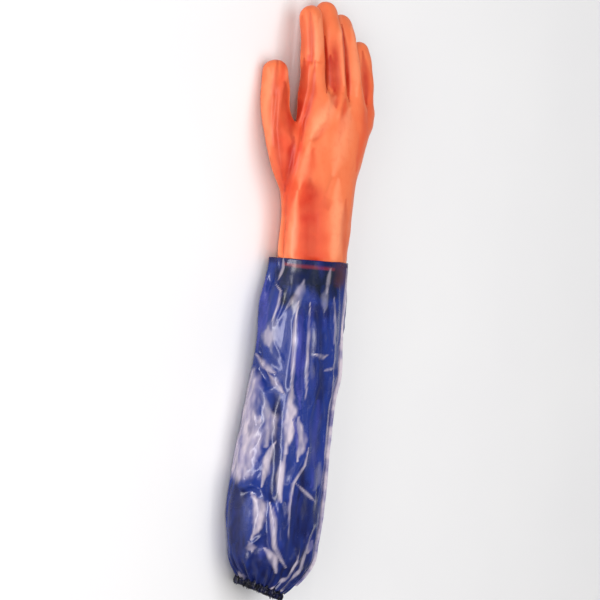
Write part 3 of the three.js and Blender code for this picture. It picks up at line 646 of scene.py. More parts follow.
SLEEVE_LENGTH = 326
SLEEVE_WIDTH = 113
SLEEVE_HEIGHT = 73
CUFF_ROOM = 3.0
FILM_WALL = 0.45
LOOSE_TOP_POWER = 1.12
LOOSE_UNDERSIDE = 1.14
FITTED_POWER = 0.92
SLEEVE = Rows(
    "along shift wide high crease fit",
    (0.0, -0.01, 0.85, 0.82, 0.4, 1.0),
    (0.024, -0.015, 0.85, 0.82, 0.4, 1.0),
    (0.06, -0.036, 0.87, 0.84, 0.39, 0.6),
    (0.117, -0.06, 0.89, 0.86, 0.37, 0.15),
    (0.172, -0.075, 0.905, 0.87, 0.345, 0.0),
    (0.264, -0.09, 0.93, 0.892, 0.338, 0.0),
    (0.335, -0.1, 0.966, 0.919, 0.338, 0.0),
    (0.43, -0.137, 0.966, 0.892, 0.324, 0.0),
    (0.547, -0.19, 0.974, 0.932, 0.324, 0.0),
    (0.665, -0.226, 1.0, 0.973, 0.324, 0.0),
    (0.73, -0.242, 1.0, 1.0, 0.324, 0.0),
    (0.822, -0.258, 0.983, 1.0, 0.324, 0.0),
    (0.9, -0.257, 0.914, 0.973, 0.324, 0.0),
)
SHOULDER = 0.9
MOUTH_SHIFT = -0.345
MOUTH_RADIUS = 25
MOUTH_YAW = math.radians(11.5)
MOUTH_PITCH = math.radians(13)
HEM_LENGTH = 8
GATHER_HEIGHT = 2
CLOSING_SWEEP = 1.6

mouth_turned = (Matrix.Rotation(-MOUTH_YAW, 3, "Z") @ Matrix.Rotation(MOUTH_PITCH, 3, "X"))
MOUTH_OUT = np.array(mouth_turned @ Vector((0, -1, 0)))
MOUTH_SIDE = np.array(mouth_turned @ Vector((1, 0, 0)))
MOUTH_UP = np.array(mouth_turned @ Vector((0, 0, 1)))
MOUTH_MIDDLE = np.array((
    MOUTH_SHIFT * SLEEVE_WIDTH,
    -SLEEVE_LENGTH,
    (MOUTH_RADIUS + GATHER_HEIGHT) * MOUTH_UP[2] + HEM_LENGTH / 2 * abs(MOUTH_OUT[2]),
))


def mouth_point(turn, radius, out):
    """A point of the mouth: turn in degrees round it, radius, and how far out of the sleeve it lies."""
    angle = np.radians(turn)
    turn, radius, out = np.broadcast_arrays(angle, radius, out)
    return (
        MOUTH_MIDDLE
        + (np.cos(turn) * radius)[..., None] * MOUTH_SIDE
        + (np.sin(turn) * radius)[..., None] * MOUTH_UP
        + out[..., None] * MOUTH_OUT
    )


def powered(value, power):
    """A power that keeps the sign."""
    return np.sign(value) * np.abs(value) ** power


def film_base(along, turn):
    """Points of the sleeve before its folds. along and turn are arrays of one shape."""
    at = np.minimum(along, SHOULDER)
    fit = SLEEVE.read("fit", at)
    half_width = blend(SLEEVE.read("wide", at) * SLEEVE_WIDTH, WRIST_WIDTH + CUFF_ROOM, fit) / 2
    high = blend(SLEEVE.read("high", at) * SLEEVE_HEIGHT, WRIST_DEPTH + CUFF_ROOM, fit)
    crease = blend(SLEEVE.read("crease", at) * SLEEVE_HEIGHT, WRIST_MIDDLE, fit)
    shift = blend(SLEEVE.read("shift", at) * SLEEVE_WIDTH, 0, fit)
    c, s = np.cos(np.radians(turn)), np.sin(np.radians(turn))
    edge = blend(LOOSE_TOP_POWER, FITTED_POWER, fit)
    depth = np.where(s > 0, high - crease, crease * blend(LOOSE_UNDERSIDE, 1, fit))
    x = shift + powered(c, FITTED_POWER) * half_width
    y = -at * SLEEVE_LENGTH
    z = np.maximum(crease + powered(s, edge) * depth, 0)
    close = np.clip((along - SHOULDER) / (1 - SHOULDER), 0, 1)
    end = mouth_point(turn, MOUTH_RADIUS, 0.0)
    sweep = close**CLOSING_SWEEP
    z = np.maximum(blend(z, end[..., 2], sweep), 0)
    return np.stack((blend(x, end[..., 0], sweep), blend(y, end[..., 1], close), z), -1)


# Broad folds of the film, from one share of its length and turn round the sleeve to another. half is the half
# width and rise the height, both in millimetres. The first row adds that the fold starts at its full height
# and from which share of its run it fades.
FILM_FOLDS = table(
    "name along turn end_along end_turn half rise open fades",
    ("thumb side pleat", -0.02, 214, 0.3, 206, 6.0, 7.0, 1, 0.05),
    ("long ridge, thumb side", 0.14, 128, 0.46, 128, 4.2, 3.4),
    ("long ridge, outer side", 0.14, 106, 0.56, 99, 4.0, 3.2),
    ("ridge turned to the thumb", 0.56, 100, 0.72, 118, 4.2, 3.4),
    ("ridge to the mouth", 0.72, 118, 0.92, 116, 4.4, 3.0),
    ("valley between the ridges", 0.13, 117, 0.46, 113, 4.6, -3.2),
    ("pinch at the thumb side", 0.27, 208, 0.4, 146, 6.0, -4.6),
    ("lip below the pinch", 0.34, 200, 0.46, 140, 5.6, 2.1),
    ("long valley", 0.4, 146, 0.78, 134, 5.6, -4.4),
    ("pinch at the outer side", 0.32, 86, 0.35, 56, 5.6, -3.4),
    ("outer long valley", 0.42, 78, 0.82, 72, 6.2, -3.4),
    ("arched lip", 0.68, 178, 0.7, 150, 5.0, 3.0),
    ("fold to the mouth", 0.76, 134, 0.95, 112, 5.0, 3.0),
    ("outer fold to the mouth", 0.8, 62, 0.97, 92, 5.6, -3.3),
    ("top fold", 0.1, 84, 0.5, 74, 4.0, 1.6),
    ("outer side fold, upper", 0.06, 30, 0.42, 18, 5.0, 3.2),
    ("outer side valley, upper", 0.05, 14, 0.38, 4, 6.0, -3.4),
    ("outer side fold, lower", 0.46, 24, 0.84, 34, 5.0, 2.8),
    ("outer side valley, lower", 0.4, 6, 0.74, 20, 6.4, -3.6),
    ("pinch over the outer side", 0.4, 352, 0.45, 30, 4.4, -2.8),
    ("second outer pinch", 0.6, 30, 0.66, 358, 4.4, -2.4),
    ("hidden side crease", 0.3, 330, 0.7, 345, 6.6, -3.0),
    ("thumb side, low fold", 0.2, 214, 0.36, 222, 5.0, -2.4),
    ("thumb side, lower fold", 0.5, 208, 0.86, 214, 5.0, 2.0),
)


def folds_height(along, turn, girth):
    """The height in millimetres that the broad folds give."""
    total = np.zeros(along.shape)
    for fold in FILM_FOLDS:
        run = (fold["end_along"] - fold["along"]) * SLEEVE_LENGTH
        swing = ((fold["end_turn"] - fold["turn"] + 540) % FULL_TURN - 180) * girth / FULL_TURN
        down = (along - fold["along"]) * SLEEVE_LENGTH
        over = ((turn - fold["turn"] + 540) % FULL_TURN - 180) * girth / FULL_TURN
        t = np.clip((down * run + over * swing) / (run**2 + swing**2), 0, 1)
        off = np.hypot(down - t * run, over - t * swing) / fold["half"]
        head = 1 if fold.get("open") else ease(0, 0.22, t)
        total += fold["rise"] * np.exp(-off * off) * head * ease(1, fold.get("fades", 0.7), t)
    return total


# Folds of the film that the picture shows, as the marks of the hand above, and 1 for those with a sharp edge.
FILM_MARKS = table(
    "name half rise sharp line",
    ("pleat at the joint", 1.8, 2.0, 1, (278.5, 256), (278.5, 268), (276, 278)),
    ("valley beside the pleat", 3.2, -2.6, 0, (283, 258), (282, 272), (280, 286)),
    ("slanted pleat", 1.7, 1.8, 1, (289, 259), (284, 270), (277, 285)),
    ("slanted pleat, lower", 1.6, 1.5, 1, (277, 285), (281.5, 291), (277, 310), (272, 326)),
    ("valley beside it", 3.4, -1.6, 0, (287, 280), (284, 300), (277, 322)),
    ("flare's valley", 3.6, -2.2, 0, (271, 276), (267, 300), (264, 326)),
    ("flare's line", 1.6, 1.2, 1, (270, 262), (266, 285), (263, 310)),
    ("lens swelling", 4.2, 1.9, 0, (303, 281), (300, 296), (294, 310)),
    ("slanted fold", 1.5, 1.3, 1, (292, 297), (285, 309), (277, 321)),
    ("pale strip", 2.2, 1.5, 1, (331, 263), (326, 296), (324, 310), (326, 334), (327, 350)),
    ("strip's valley", 2.8, -1.4, 0, (336.5, 268), (331, 296), (330, 330)),
    ("line at the outer edge", 1.8, 1.3, 1, (347, 264), (344, 290), (343, 310), (341, 345)),
    ("inner line", 1.6, 1.2, 1, (334, 300), (334, 330), (333, 352), (330.5, 400)),
    ("second inner line", 1.4, 0.9, 1, (338, 284), (338, 312), (337, 344)),
    ("long ridge, thumb side", 2.4, 1.2, 1, (298, 300), (295, 330), (293, 370), (290, 396), (288, 414)),
    ("long ridge, outer side", 2.0, 1.3, 1, (309.6, 303), (308, 340), (306, 390), (307, 420), (309, 448)),
    ("ridge turned inwards", 1.9, 1.8, 1, (309, 448), (305, 464), (293, 482), (289.5, 504), (288, 540)),
    ("valley right of it", 6, -2.0, 0, (318, 424), (318, 450), (307, 478), (302, 520)),
    ("fold under the ridge", 2.6, 1.0, 1, (290, 418), (295, 436), (304, 452)),
    ("left pinch", 2.0, 2.6, 1, (256, 352), (264, 365), (277, 376)),
    ("left pinch, end", 1.8, 1.7, 1, (268, 370), (276, 382), (285, 392)),
    ("valley under the pinch", 3.0, -2.0, 0, (254, 362), (262, 374), (270, 386)),
    ("valley over the pinch", 3.6, -1.6, 0, (261, 350), (270, 361), (281, 370)),
    ("short fold over the pinch", 1.5, 0.9, 1, (273, 340), (278, 350), (283, 360)),
    ("long dark valley", 4.6, -2.0, 0, (279, 396), (275, 430), (275, 470), (272, 496)),
    ("pale middle swelling", 6, 1.8, 0, (293, 402), (291, 430), (287, 460)),
    ("crease in the swelling", 1.4, -1.2, 1, (291, 408), (294, 420), (298, 434)),
    ("short crease", 1.4, 1.2, 1, (296, 432), (297, 448), (295, 460)),
    ("arched lip", 2.0, 2.4, 1, (241, 487), (251, 482.5), (261, 487), (266, 497)),
    ("under the lip", 3.2, -2.0, 0, (241, 493), (251, 489), (260, 495)),
    ("over the lip", 4.0, -1.6, 0, (240, 478), (251, 475), (259, 466), (262, 452)),
    ("slanted crease", 1.6, 1.4, 1, (296, 482), (306, 490), (315, 501)),
    ("pale tongue", 5.5, 1.8, 0, (257, 496), (260, 515), (255, 536)),
    ("star crease", 1.7, 2.2, 1, (247, 543), (253, 541), (265, 531.5)),
    ("star crease, down", 1.7, 1.8, 1, (252, 540), (252, 552), (247, 562), (251, 574)),
    ("star crease, up", 1.8, 1.5, 1, (257, 514), (254, 528), (250, 541)),
    ("below the star", 5.0, -1.8, 0, (260, 548), (262, 564)),
    ("curved fold", 2.0, 2.4, 1, (270, 498), (274, 520), (275, 545), (287, 567)),
    ("curved fold, inner", 1.8, 1.4, 1, (278, 500), (281, 520), (283, 540)),
    ("beside the curved fold", 3.6, -2.2, 0, (266, 512), (267, 540), (276, 562)),
    ("triangle by the mouth", 2.0, 1.4, 1, (265, 546), (272, 556), (275, 570)),
    ("dark pocket", 8, -2.6, 0, (303, 496), (301, 530), (299, 548)),
    ("fold to the mouth", 1.8, 2.2, 1, (298, 545), (298, 560), (290, 577), (268, 590)),
    ("second fold to the mouth", 1.8, 1.9, 1, (313, 524), (304, 546), (297, 568), (278, 590)),
    ("between those folds", 2.6, -1.6, 0, (306, 536), (300, 560), (286, 582)),
    ("outer pinch, upper", 1.6, 1.7, 1, (314, 354), (322, 355.5), (331, 353)),
    ("outer pinch, middle", 1.4, 1.5, 1, (322, 363), (328, 361), (333, 359)),
    ("outer pinch, lower", 1.4, 1.5, 1, (324, 370), (329, 370.5), (334, 367)),
    ("outer pinch's hollow", 3.0, -1.8, 0, (317, 360), (326, 358.5)),
    ("curl by the outer pinch", 1.5, 1.2, 1, (326, 336), (330, 344), (332, 350)),
    ("fold past the pinch", 1.6, 1.2, 1, (315, 368), (321, 390), (324, 425)),
    ("outer fold", 1.6, 1.2, 1, (331, 372), (327, 420), (323, 468), (317, 500)),
    ("short outer folds", 2.6, 1.2, 0, (319, 440), (322, 462), (319, 486)),
)

# The film's own blue; then painted light: a pale violet, a milky lilac and a smoky lilac of painted
# reflection, and a navy of painted shade; then the cuff, the weld's red stripe and a red-brown, seen through
# the film.
FILM_BLUE = (0.010, 0.030, 0.205)
VIOLET_PAINTED_LIGHT = (0.062, 0.068, 0.37)
NAVY_AND_PAINTED_SHADE = (0.003, 0.007, 0.066)
PAINTED_REFLECTION = (0.54, 0.475, 0.55)
DIM_PAINTED_REFLECTION = (0.24, 0.235, 0.34)
CUFF_DARK = (0.003, 0.007, 0.020)
STRIPE_RED = (0.17, 0.015, 0.035)
BROWN_RED = (0.11, 0.03, 0.03)

# Painted light on the film: painted reflections in pale violet and in milky and smoky lilac, and navy painted
# shade in its valleys, its dark pocket and along its thumb side; besides, a navy band at the joint where the
# film lies doubled, navy along the hem, and the cuff and its weld where the film lies on the cuff. The columns
# are the hand's table's.
FILM_COLOURS_AND_PAINTED_LIGHT = table(
    "colour share half soft even line",
    # Navy painted shade in the dark pocket, the valleys and along the thumb side, and navy film along the hem.
    (NAVY_AND_PAINTED_SHADE, 0.85, 12, 0.8, 0, (303, 470), (302, 516), (300, 562)),
    (NAVY_AND_PAINTED_SHADE, 0.85, 8, 0.5, 1, (238, 492), (237, 530), (242, 562)),
    (NAVY_AND_PAINTED_SHADE, 0.9, 15, 1.0, 1, (242, 566), (272, 572), (294, 566)),
    (NAVY_AND_PAINTED_SHADE, 0.6, 12, 1.0, 0, (262, 526), (264, 546), (268, 570)),
    (NAVY_AND_PAINTED_SHADE, 0.6, 9, 1.0, 0, (286, 500), (284, 530), (280, 560)),
    (NAVY_AND_PAINTED_SHADE, 0.75, 6, 0.9, 1, (236, 575), (258, 582), (288, 592)),
    (NAVY_AND_PAINTED_SHADE, 0.75, 4.5, 0.5, 1, (277, 396), (276, 440), (274, 494)),
    (NAVY_AND_PAINTED_SHADE, 0.6, 6, 0.5, 0, (318, 300), (318, 350), (319, 420)),
    (NAVY_AND_PAINTED_SHADE, 0.7, 6, 0.5, 0, (238, 476), (234, 500), (234, 540)),
    (NAVY_AND_PAINTED_SHADE, 0.5, 5, 0.5, 0, (318, 490), (313, 540), (300, 580)),
    (VIOLET_PAINTED_LIGHT, 0.7, 4.5, 0.5, 0, (301, 308), (301, 350), (299, 408)),
    (VIOLET_PAINTED_LIGHT, 0.4, 3.5, 0.9, 0, (318, 400), (316, 450), (312, 486)),
    (VIOLET_PAINTED_LIGHT, 0.6, 5, 0.5, 0, (266, 278), (262, 310), (258, 346)),
    (CUFF_DARK, 0.92, 13, 0.5, 1, (296, 272), (312, 276), (332, 276)),
    (CUFF_DARK, 0.8, 9, 0.5, 1, (284, 274), (290, 300)),
    (CUFF_DARK, 0.75, 8, 0.5, 1, (318, 292), (330, 292)),
    (NAVY_AND_PAINTED_SHADE, 0.7, 8, 0.5, 1, (306, 312), (326, 312)),
    # A navy band at the joint, where the film lies doubled.
    (NAVY_AND_PAINTED_SHADE, 0.9, 4.2, 0.5, 1, (270, 258), (290, 261), (312, 262), (346, 266)),
    (STRIPE_RED, 0.95, 1.5, 0.5, 1, (284, 264), (296, 266), (314, 267.5), (334, 269.5)),
    (BROWN_RED, 0.5, 5, 0.9, 1, (341, 267), (342, 275), (340, 282)),
    (DIM_PAINTED_REFLECTION, 0.6, 3.4, 0.8, 0, (304, 280), (299, 296), (293, 314)),
    (PAINTED_REFLECTION, 0.4, 2.2, 0.8, 0, (304, 281), (298, 293), (286, 309)),
    (DIM_PAINTED_REFLECTION, 0.6, 6, 0.8, 0, (275, 316), (269, 336), (271, 352)),
    (PAINTED_REFLECTION, 0.45, 4.2, 0.9, 0, (268, 326), (268, 346)),
    (PAINTED_REFLECTION, 0.8, 1.9, 0.5, 0, (298, 302), (295, 330), (293, 370), (291, 398)),
    (PAINTED_REFLECTION, 0.7, 1.5, 0.5, 0, (310, 302), (308, 340), (306, 390), (305, 404)),
    (PAINTED_REFLECTION, 0.85, 10, 0.7, 1, (248, 380), (246, 408), (242, 440), (239, 466)),
    (PAINTED_REFLECTION, 0.6, 6, 0.8, 0, (258, 416), (255, 446), (251, 466)),
    (PAINTED_REFLECTION, 0.6, 5, 0.8, 0, (266, 402), (271, 420), (266, 446)),
    (DIM_PAINTED_REFLECTION, 0.6, 3, 0.5, 0, (262, 392), (268, 408), (262, 424)),
    (PAINTED_REFLECTION, 0.9, 3.4, 0.5, 0, (275, 440), (268, 456), (265, 474), (262, 484)),
    (PAINTED_REFLECTION, 0.9, 4.6, 0.6, 0, (292, 384), (290, 424), (286, 452)),
    (PAINTED_REFLECTION, 0.8, 3.6, 0.6, 0, (299, 416), (301, 438), (298, 460)),
    (PAINTED_REFLECTION, 0.7, 2.4, 0.6, 0, (285, 452), (281, 480), (279, 500)),
    (VIOLET_PAINTED_LIGHT, 0.7, 1.6, 0.5, 0, (292, 418), (296, 432), (297, 452)),
    (PAINTED_REFLECTION, 0.6, 3, 0.5, 0, (281, 460), (279, 480), (281, 500)),
    (PAINTED_REFLECTION, 0.85, 5.2, 0.6, 0, (252, 492), (260, 504), (259, 520), (254, 536)),
    (PAINTED_REFLECTION, 0.6, 2.6, 0.5, 0, (273, 505), (275, 535)),
    (PAINTED_REFLECTION, 0.75, 3.4, 0.6, 0, (265, 545), (274, 556), (276, 570)),
    (PAINTED_REFLECTION, 0.7, 2.4, 0.6, 0, (270, 500), (273, 522), (275, 545), (286, 566)),
    (PAINTED_REFLECTION, 0.8, 1.1, 0.5, 0, (299, 548), (297, 560), (288, 575), (266, 589)),
    (PAINTED_REFLECTION, 0.6, 1.1, 0.5, 0, (315, 526), (308, 546), (300, 568), (280, 590)),
    (PAINTED_REFLECTION, 0.7, 1.2, 0.5, 0, (308, 446), (304, 464), (293, 482), (289.5, 504), (288, 540)),
    (PAINTED_REFLECTION, 0.55, 1.3, 0.5, 0, (296, 482), (306, 490), (316, 502)),
    (DIM_PAINTED_REFLECTION, 0.5, 3, 0.9, 0, (320, 462), (319, 476), (314, 490)),
    (PAINTED_REFLECTION, 0.6, 1.1, 0.5, 0, (346, 268), (344, 300), (342, 345), (341, 372)),
    (PAINTED_REFLECTION, 0.5, 1.0, 0.5, 0, (335, 352), (331, 400), (328, 440), (323, 480)),
    (PAINTED_REFLECTION, 0.5, 0.9, 0.5, 0, (334, 296), (335, 330), (332, 350)),
    (PAINTED_REFLECTION, 0.6, 1.4, 0.5, 0, (283, 258), (283, 268), (278, 280)),
    (PAINTED_REFLECTION, 0.7, 1.2, 0.5, 0, (276, 284), (281, 291), (278, 306), (272, 322)),
    (PAINTED_REFLECTION, 0.4, 3, 0.5, 0, (240, 570), (243, 580)),
    (PAINTED_REFLECTION, 0.55, 4, 0.5, 0, (250, 540), (253, 550)),
    (PAINTED_REFLECTION, 0.7, 2.6, 0.7, 0, (257, 354), (265, 365), (276, 373)),
    (PAINTED_REFLECTION, 0.7, 2.8, 0.7, 0, (269, 372), (276, 383), (284, 392)),
    (PAINTED_REFLECTION, 0.6, 1.8, 0.7, 0, (315, 354), (323, 357), (327, 355)),
    (PAINTED_REFLECTION, 0.6, 1.0, 0.7, 0, (324, 370), (333, 368)),
    (PAINTED_REFLECTION, 0.45, 3.2, 0.5, 0, (308, 552), (313, 540)),
    (DIM_PAINTED_REFLECTION, 0.5, 3.4, 0.5, 0, (326, 288), (324, 312)),
    (PAINTED_REFLECTION, 0.4, 1.8, 0.5, 0, (330, 268), (326, 294)),
)

FILM_TURNS_SEEN = 128
FILM_TURNS_HIDDEN = 72
FILM_ROWS = 238
SEEN_FROM = 44
SEEN_TO = 236
CUFF_END_PIXEL = 285
FLOOR_GAP = 0.02
# Shares of the sleeve's length: where it leaves the cuff, and where the elastic draws it in
FREED = (0.02, 0.16)
DRAWN_IN = (0.87, 0.995)
# Where the picture shows the finest crumple, in pixels: its middle, where it starts to fade and where it ends
PALE_PLACE = (254, 432)
PALE_INNER = np.array((10, 24))
PALE_OUTER = np.array((34, 62))
VALLEY_DEPTH = 2.2
VALLEY_TURNS = 24
CUFF_REST = 0.6
WELD_WIDTH = 3.4
WELD_THICKNESS = 0.6
WELD_TURN = 50
WELD_ROWS = slice(2, 234)
WELD_EVENED = 9


def film_turns():
    """Where the film's columns lie round the sleeve, closer together where the picture shows them."""
    seen = np.linspace(SEEN_FROM, SEEN_TO, FILM_TURNS_SEEN, endpoint=False)
    hidden = np.linspace(SEEN_TO, SEEN_FROM + FULL_TURN, FILM_TURNS_HIDDEN, endpoint=False)
    return np.concatenate((seen, hidden))


def grid_faces(rows, sides, closed=False):
    """Quads of a grid whose last column joins its first, and, where it is closed, its last row its first."""
    r, s = np.meshgrid(np.arange(rows if closed else rows - 1), np.arange(sides), indexing="ij")
    beside = (s + 1) % sides
    below = (r + 1) % rows * sides
    return np.stack((r * sides + s, r * sides + beside, below + beside, below + s), -1).reshape(-1, 4)


def rod_faces(rows, sides):
    """The faces of a grid down a rod, and its two ends."""
    last = (rows - 1) * sides
    return [*grid_faces(rows, sides).tolist(), list(range(sides))[::-1], list(range(last, last + sides))]


def grid_normals(points):
    """Outward directions at the points of a grid of rows down a tube."""
    down = np.gradient(points, axis=0)
    beside = np.roll(points, -1, axis=1) - np.roll(points, 1, axis=1)
    normals = np.cross(beside, down)
    return normals / np.maximum(np.linalg.norm(normals, axis=-1), 1e-9)[..., None]


def crumple(points, size, seed):
    """Sharp creases with soft faces between them, from -1 to 1."""
    bend = drift(points, *((np.array(size) * 1.7, seed + 10 + i) for i in range(3)))
    return 1 - 3.2 * np.abs(smooth_noise(points + bend * np.array(size) * 0.45, size, seed))


def gather_ripple(base, turn):
    """The small waves that the elastic draws the film's end into."""
    ripple = np.sin(np.radians(turn) * 23 + 3 * smooth_noise(base, 30, 12)) * 1.3
    return ripple + np.sin(np.radians(turn) * 37 + 4 * smooth_noise(base, 22, 13)) * 0.7


def folded_film(along, turn):
    """The sleeve's points with all of its folds, and its colour with painted reflections and painted shade."""
    base = film_base(along, turn)
    girth = np.linalg.norm(base - np.roll(base, 1, axis=1), axis=-1).sum(1, keepdims=True)
    close = ease(*DRAWN_IN, along)
    calm = 1 - close
    broad_share = 0.25 + 0.75 * calm
    loose = ease(*FREED, along)
    astray = 0.008 * smooth_noise(base, (24, 30, 24), 16)
    swung = 5 * smooth_noise(base, (30, 34, 30), 18) * loose
    broad = folds_height(along + astray, turn + swung, girth)
    broad += loose * 1.1 * smooth_noise(base, (30, 80, 30), 3)
    points = base + grid_normals(base) * (broad * broad_share)[..., None]
    normals = grid_normals(points)
    pixels = picture_place(points)
    facing = grid_normals(base) @ TO_EYE
    seen = ease(-0.1, 0.3, facing)
    shown = marks_height(FILM_MARKS, pixels) * seen
    soft = 0.45 * crumple(base, (24, 60, 24), 5)
    pale = ease(PALE_OUTER, PALE_INNER, np.abs(pixels - PALE_PLACE)).prod(-1) * seen
    fine = crumple(base, (9, 14, 9), 7) * (0.10 + 0.42 * pale)
    hidden = (1 - seen) * (0.9 * crumple(base, (20, 45, 20), 9) + 0.3 * crumple(base, (9, 18, 9), 11))
    height = shown * (0.3 + 0.7 * calm) + (soft + fine + hidden) * loose * broad_share
    height += gather_ripple(base, turn) * close
    near_weld = np.exp(-(((turn - WELD_TURN) / VALLEY_TURNS) ** 2)) * ease(0.0, 0.3, along) * calm
    height -= VALLEY_DEPTH * near_weld
    on_cuff = ease(0.14, 0.1, along)
    height = blend(height, np.maximum(height, -CUFF_REST - broad), on_cuff)
    points = points + normals * height[..., None]
    points[..., 1] += 0.5 * smooth_noise(base, 16, 15) * ease(0.03, 0.0, along)
    points[..., 2] = np.maximum(points[..., 2], FLOOR_GAP)
    return points, film_colour_and_painted_light(base, points, pixels, along, ease(-0.3, 0.0, facing))


def film_colour_and_painted_light(base, points, pixels, along, in_sight):
    """Where the picture shows the film, its patches of painted reflection and painted shade, and the cuff seen
    through it; elsewhere soft random clouds of painted reflection, and the cuff's dark.
    """
    wander = 4 * drift(base, ((7, 12, 7), 17), ((9, 12, 9), 19))
    wander += 2 * drift(base, ((3, 6, 3), 27), ((3, 6, 3), 28))
    clear = pixels[..., 1] > CUFF_END_PIXEL
    streaks = 0.95 + 0.75 * smooth_noise(points, (5, 26, 5), 25) + 0.35 * smooth_noise(points, (3, 9, 3), 26)
    streaks = np.where(clear, np.clip(streaks, 0.2, 1.2), 1)
    wander = np.where(clear[..., None], wander, 0)
    colour_and_painted_light = tinted(FILM_COLOURS_AND_PAINTED_LIGHT, FILM_BLUE, pixels, in_sight * streaks, wander)
    cloud = smooth_noise(base, (26, 70, 26), 23) + 0.3 * smooth_noise(base, (9, 14, 9), 24)
    cloud = ease(0.1, 0.55, cloud)[..., None]
    cuff = ease(0.15, 0.09, along)[..., None]
    # Painted reflection in soft random clouds over the blue where the film is out of sight.
    back = blend(np.array(FILM_BLUE), np.array(PAINTED_REFLECTION) * 0.6, 0.7 * cloud * (1 - cuff))
    back = blend(back, np.array(CUFF_DARK), 0.85 * cuff)
    return blend(colour_and_painted_light, back, (1 - in_sight)[..., None])


def make_film(material):
    """The sleeve, and the points of its outside by rows and columns."""
    along, turn = np.meshgrid(np.linspace(0, 1, FILM_ROWS), film_turns(), indexing="ij")
    points, colour_and_painted_light = folded_film(along, turn)
    flat, colour_and_painted_light = points.reshape(-1, 3), colour_and_painted_light.reshape(-1, 3)
    faces = facing_out(flat, grid_faces(FILM_ROWS, points.shape[1]))
    flat, faces = walled(flat, faces, FILM_WALL)
    return mesh_object("sleeve_film", flat, faces.tolist(), material, np.concatenate((colour_and_painted_light, colour_and_painted_light))), points


def make_weld(film, material):
    """The welded edges: a thin fin that stands off the film along its outer side."""
    column = int(np.argmin(np.abs(film_turns() - WELD_TURN)))
    foot = np.pad(film[WELD_ROWS, column], ((WELD_EVENED // 2,) * 2, (0, 0)), mode="edge")
    window = np.ones(WELD_EVENED) / WELD_EVENED
    soft = np.stack([np.convolve(line, window, "valid") for line in foot.T], -1)
    side = blend(grid_normals(film)[WELD_ROWS, column], ACROSS, 0.75)
    side[:, 1] = 0
    side /= np.linalg.norm(side, axis=1)[:, None]
    ahead = np.gradient(soft, axis=0)
    ahead /= np.linalg.norm(ahead, axis=1)[:, None]
    thick = np.cross(ahead, side)
    sway = 0.35 * smooth_noise(soft, 18, 21)[:, None]
    # The fin's section: how far off the film, and how far to one side as a share of its thickness
    profile = ((-1.2, -0.5), (WELD_WIDTH * 0.5, -0.5), (WELD_WIDTH, -0.35), (WELD_WIDTH + 0.2, 0.0),
               (WELD_WIDTH, 0.35), (WELD_WIDTH * 0.5, 0.5), (-1.2, 0.5))
    wide = ease(-0.06, 0.34, np.linspace(0, 1, len(soft)))[:, None]
    rings = []
    for reach, place in profile:
        out = side * (reach if reach < 0 else reach * wide)
        rings.append(soft + out + thick * (place * WELD_THICKNESS + sway * reach / WELD_WIDTH))
    points = np.stack(rings, 1)
    points[..., 2] = np.maximum(points[..., 2], FLOOR_GAP)
    piece = mesh_object("side_fin", points.reshape(-1, 3), rod_faces(*points.shape[:2]), material)
    face_outwards(piece)
    return piece


# The gathered hem

HEM_SIDES = 420
HEM_WALL = 4.2
GATHERS = 88
PLEAT_RINGS = 7
PLEAT_SIDES = 8
PLEAT_LENGTH = 8.6
PLEAT_TALL = 1.5
PLEAT_THICK = 0.42
PLEAT_TAPER = 172


def make_hem(material):
    """Film folded over the elastic: a channel with a crumpled skin."""
    turn = np.linspace(0, FULL_TURN, HEM_SIDES, endpoint=False)
    around = mouth_point(turn, float(MOUTH_RADIUS), 0.0)
    wave = np.sin(np.radians(turn) * 43 + 4.0 * smooth_noise(around, 9, 31))
    wave = 0.5 * wave + 0.5 * np.sin(np.radians(turn) * 71 + 4.0 * smooth_noise(around, 7, 32))
    lump = smooth_noise(around, 6, 33)
    inner = MOUTH_RADIUS - HEM_WALL
    # The channel's section, round its outside and back inside: radius, how far out, and how much it ruffles
    profile = (
        (MOUTH_RADIUS - 0.4, -2.5, 0.9), (MOUTH_RADIUS + 0.1, -0.5, 0.5), (MOUTH_RADIUS - 0.7, 0.8, 0.6),
        (MOUTH_RADIUS + 0.2, 2.6, 0.8), (MOUTH_RADIUS + 0.5, 4.6, 0.9), (MOUTH_RADIUS + 0.2, 6.2, 0.9),
        (MOUTH_RADIUS - 0.6, 7.2, 0.9), (MOUTH_RADIUS - 1.8, 7.8, 0.8), (MOUTH_RADIUS - 2.8, 7.8, 0.7),
        (inner, 7.2, 0.6), (inner - 0.4, 5.5, 0.6), (inner - 0.3, 3.0, 0.6), (inner, 0.5, 0.6),
        (inner + 0.4, 0.3, 0.6), (inner + 0.3, 3.0, 0.4), (inner + 0.3, 6.6, 0.3),
        (MOUTH_RADIUS - 1.6, 6.8, 0.4), (MOUTH_RADIUS - 1.3, 4.0, 0.5), (MOUTH_RADIUS - 1.3, 0.8, 0.5),
        (MOUTH_RADIUS - 0.9, -2.3, 0.7),
    )
    rings = []
    for i, (radius, out, ruffle) in enumerate(profile):
        shade = smooth_noise(around + (0, 0, i * 2.2), (4, 4, 4), 34)
        swell = ruffle * (wave + 0.6 * lump + 0.6 * shade)
        rings.append(mouth_point(turn, radius + swell, out + 0.7 * lump + 0.6 * shade))
    points = np.stack(rings, 0)
    points[..., 2] = np.maximum(points[..., 2], FLOOR_GAP)
    faces = grid_faces(len(profile), HEM_SIDES, closed=True).tolist()
    piece = mesh_object("hem_channel", points.reshape(-1, 3), faces, material)
    face_outwards(piece)
    return piece


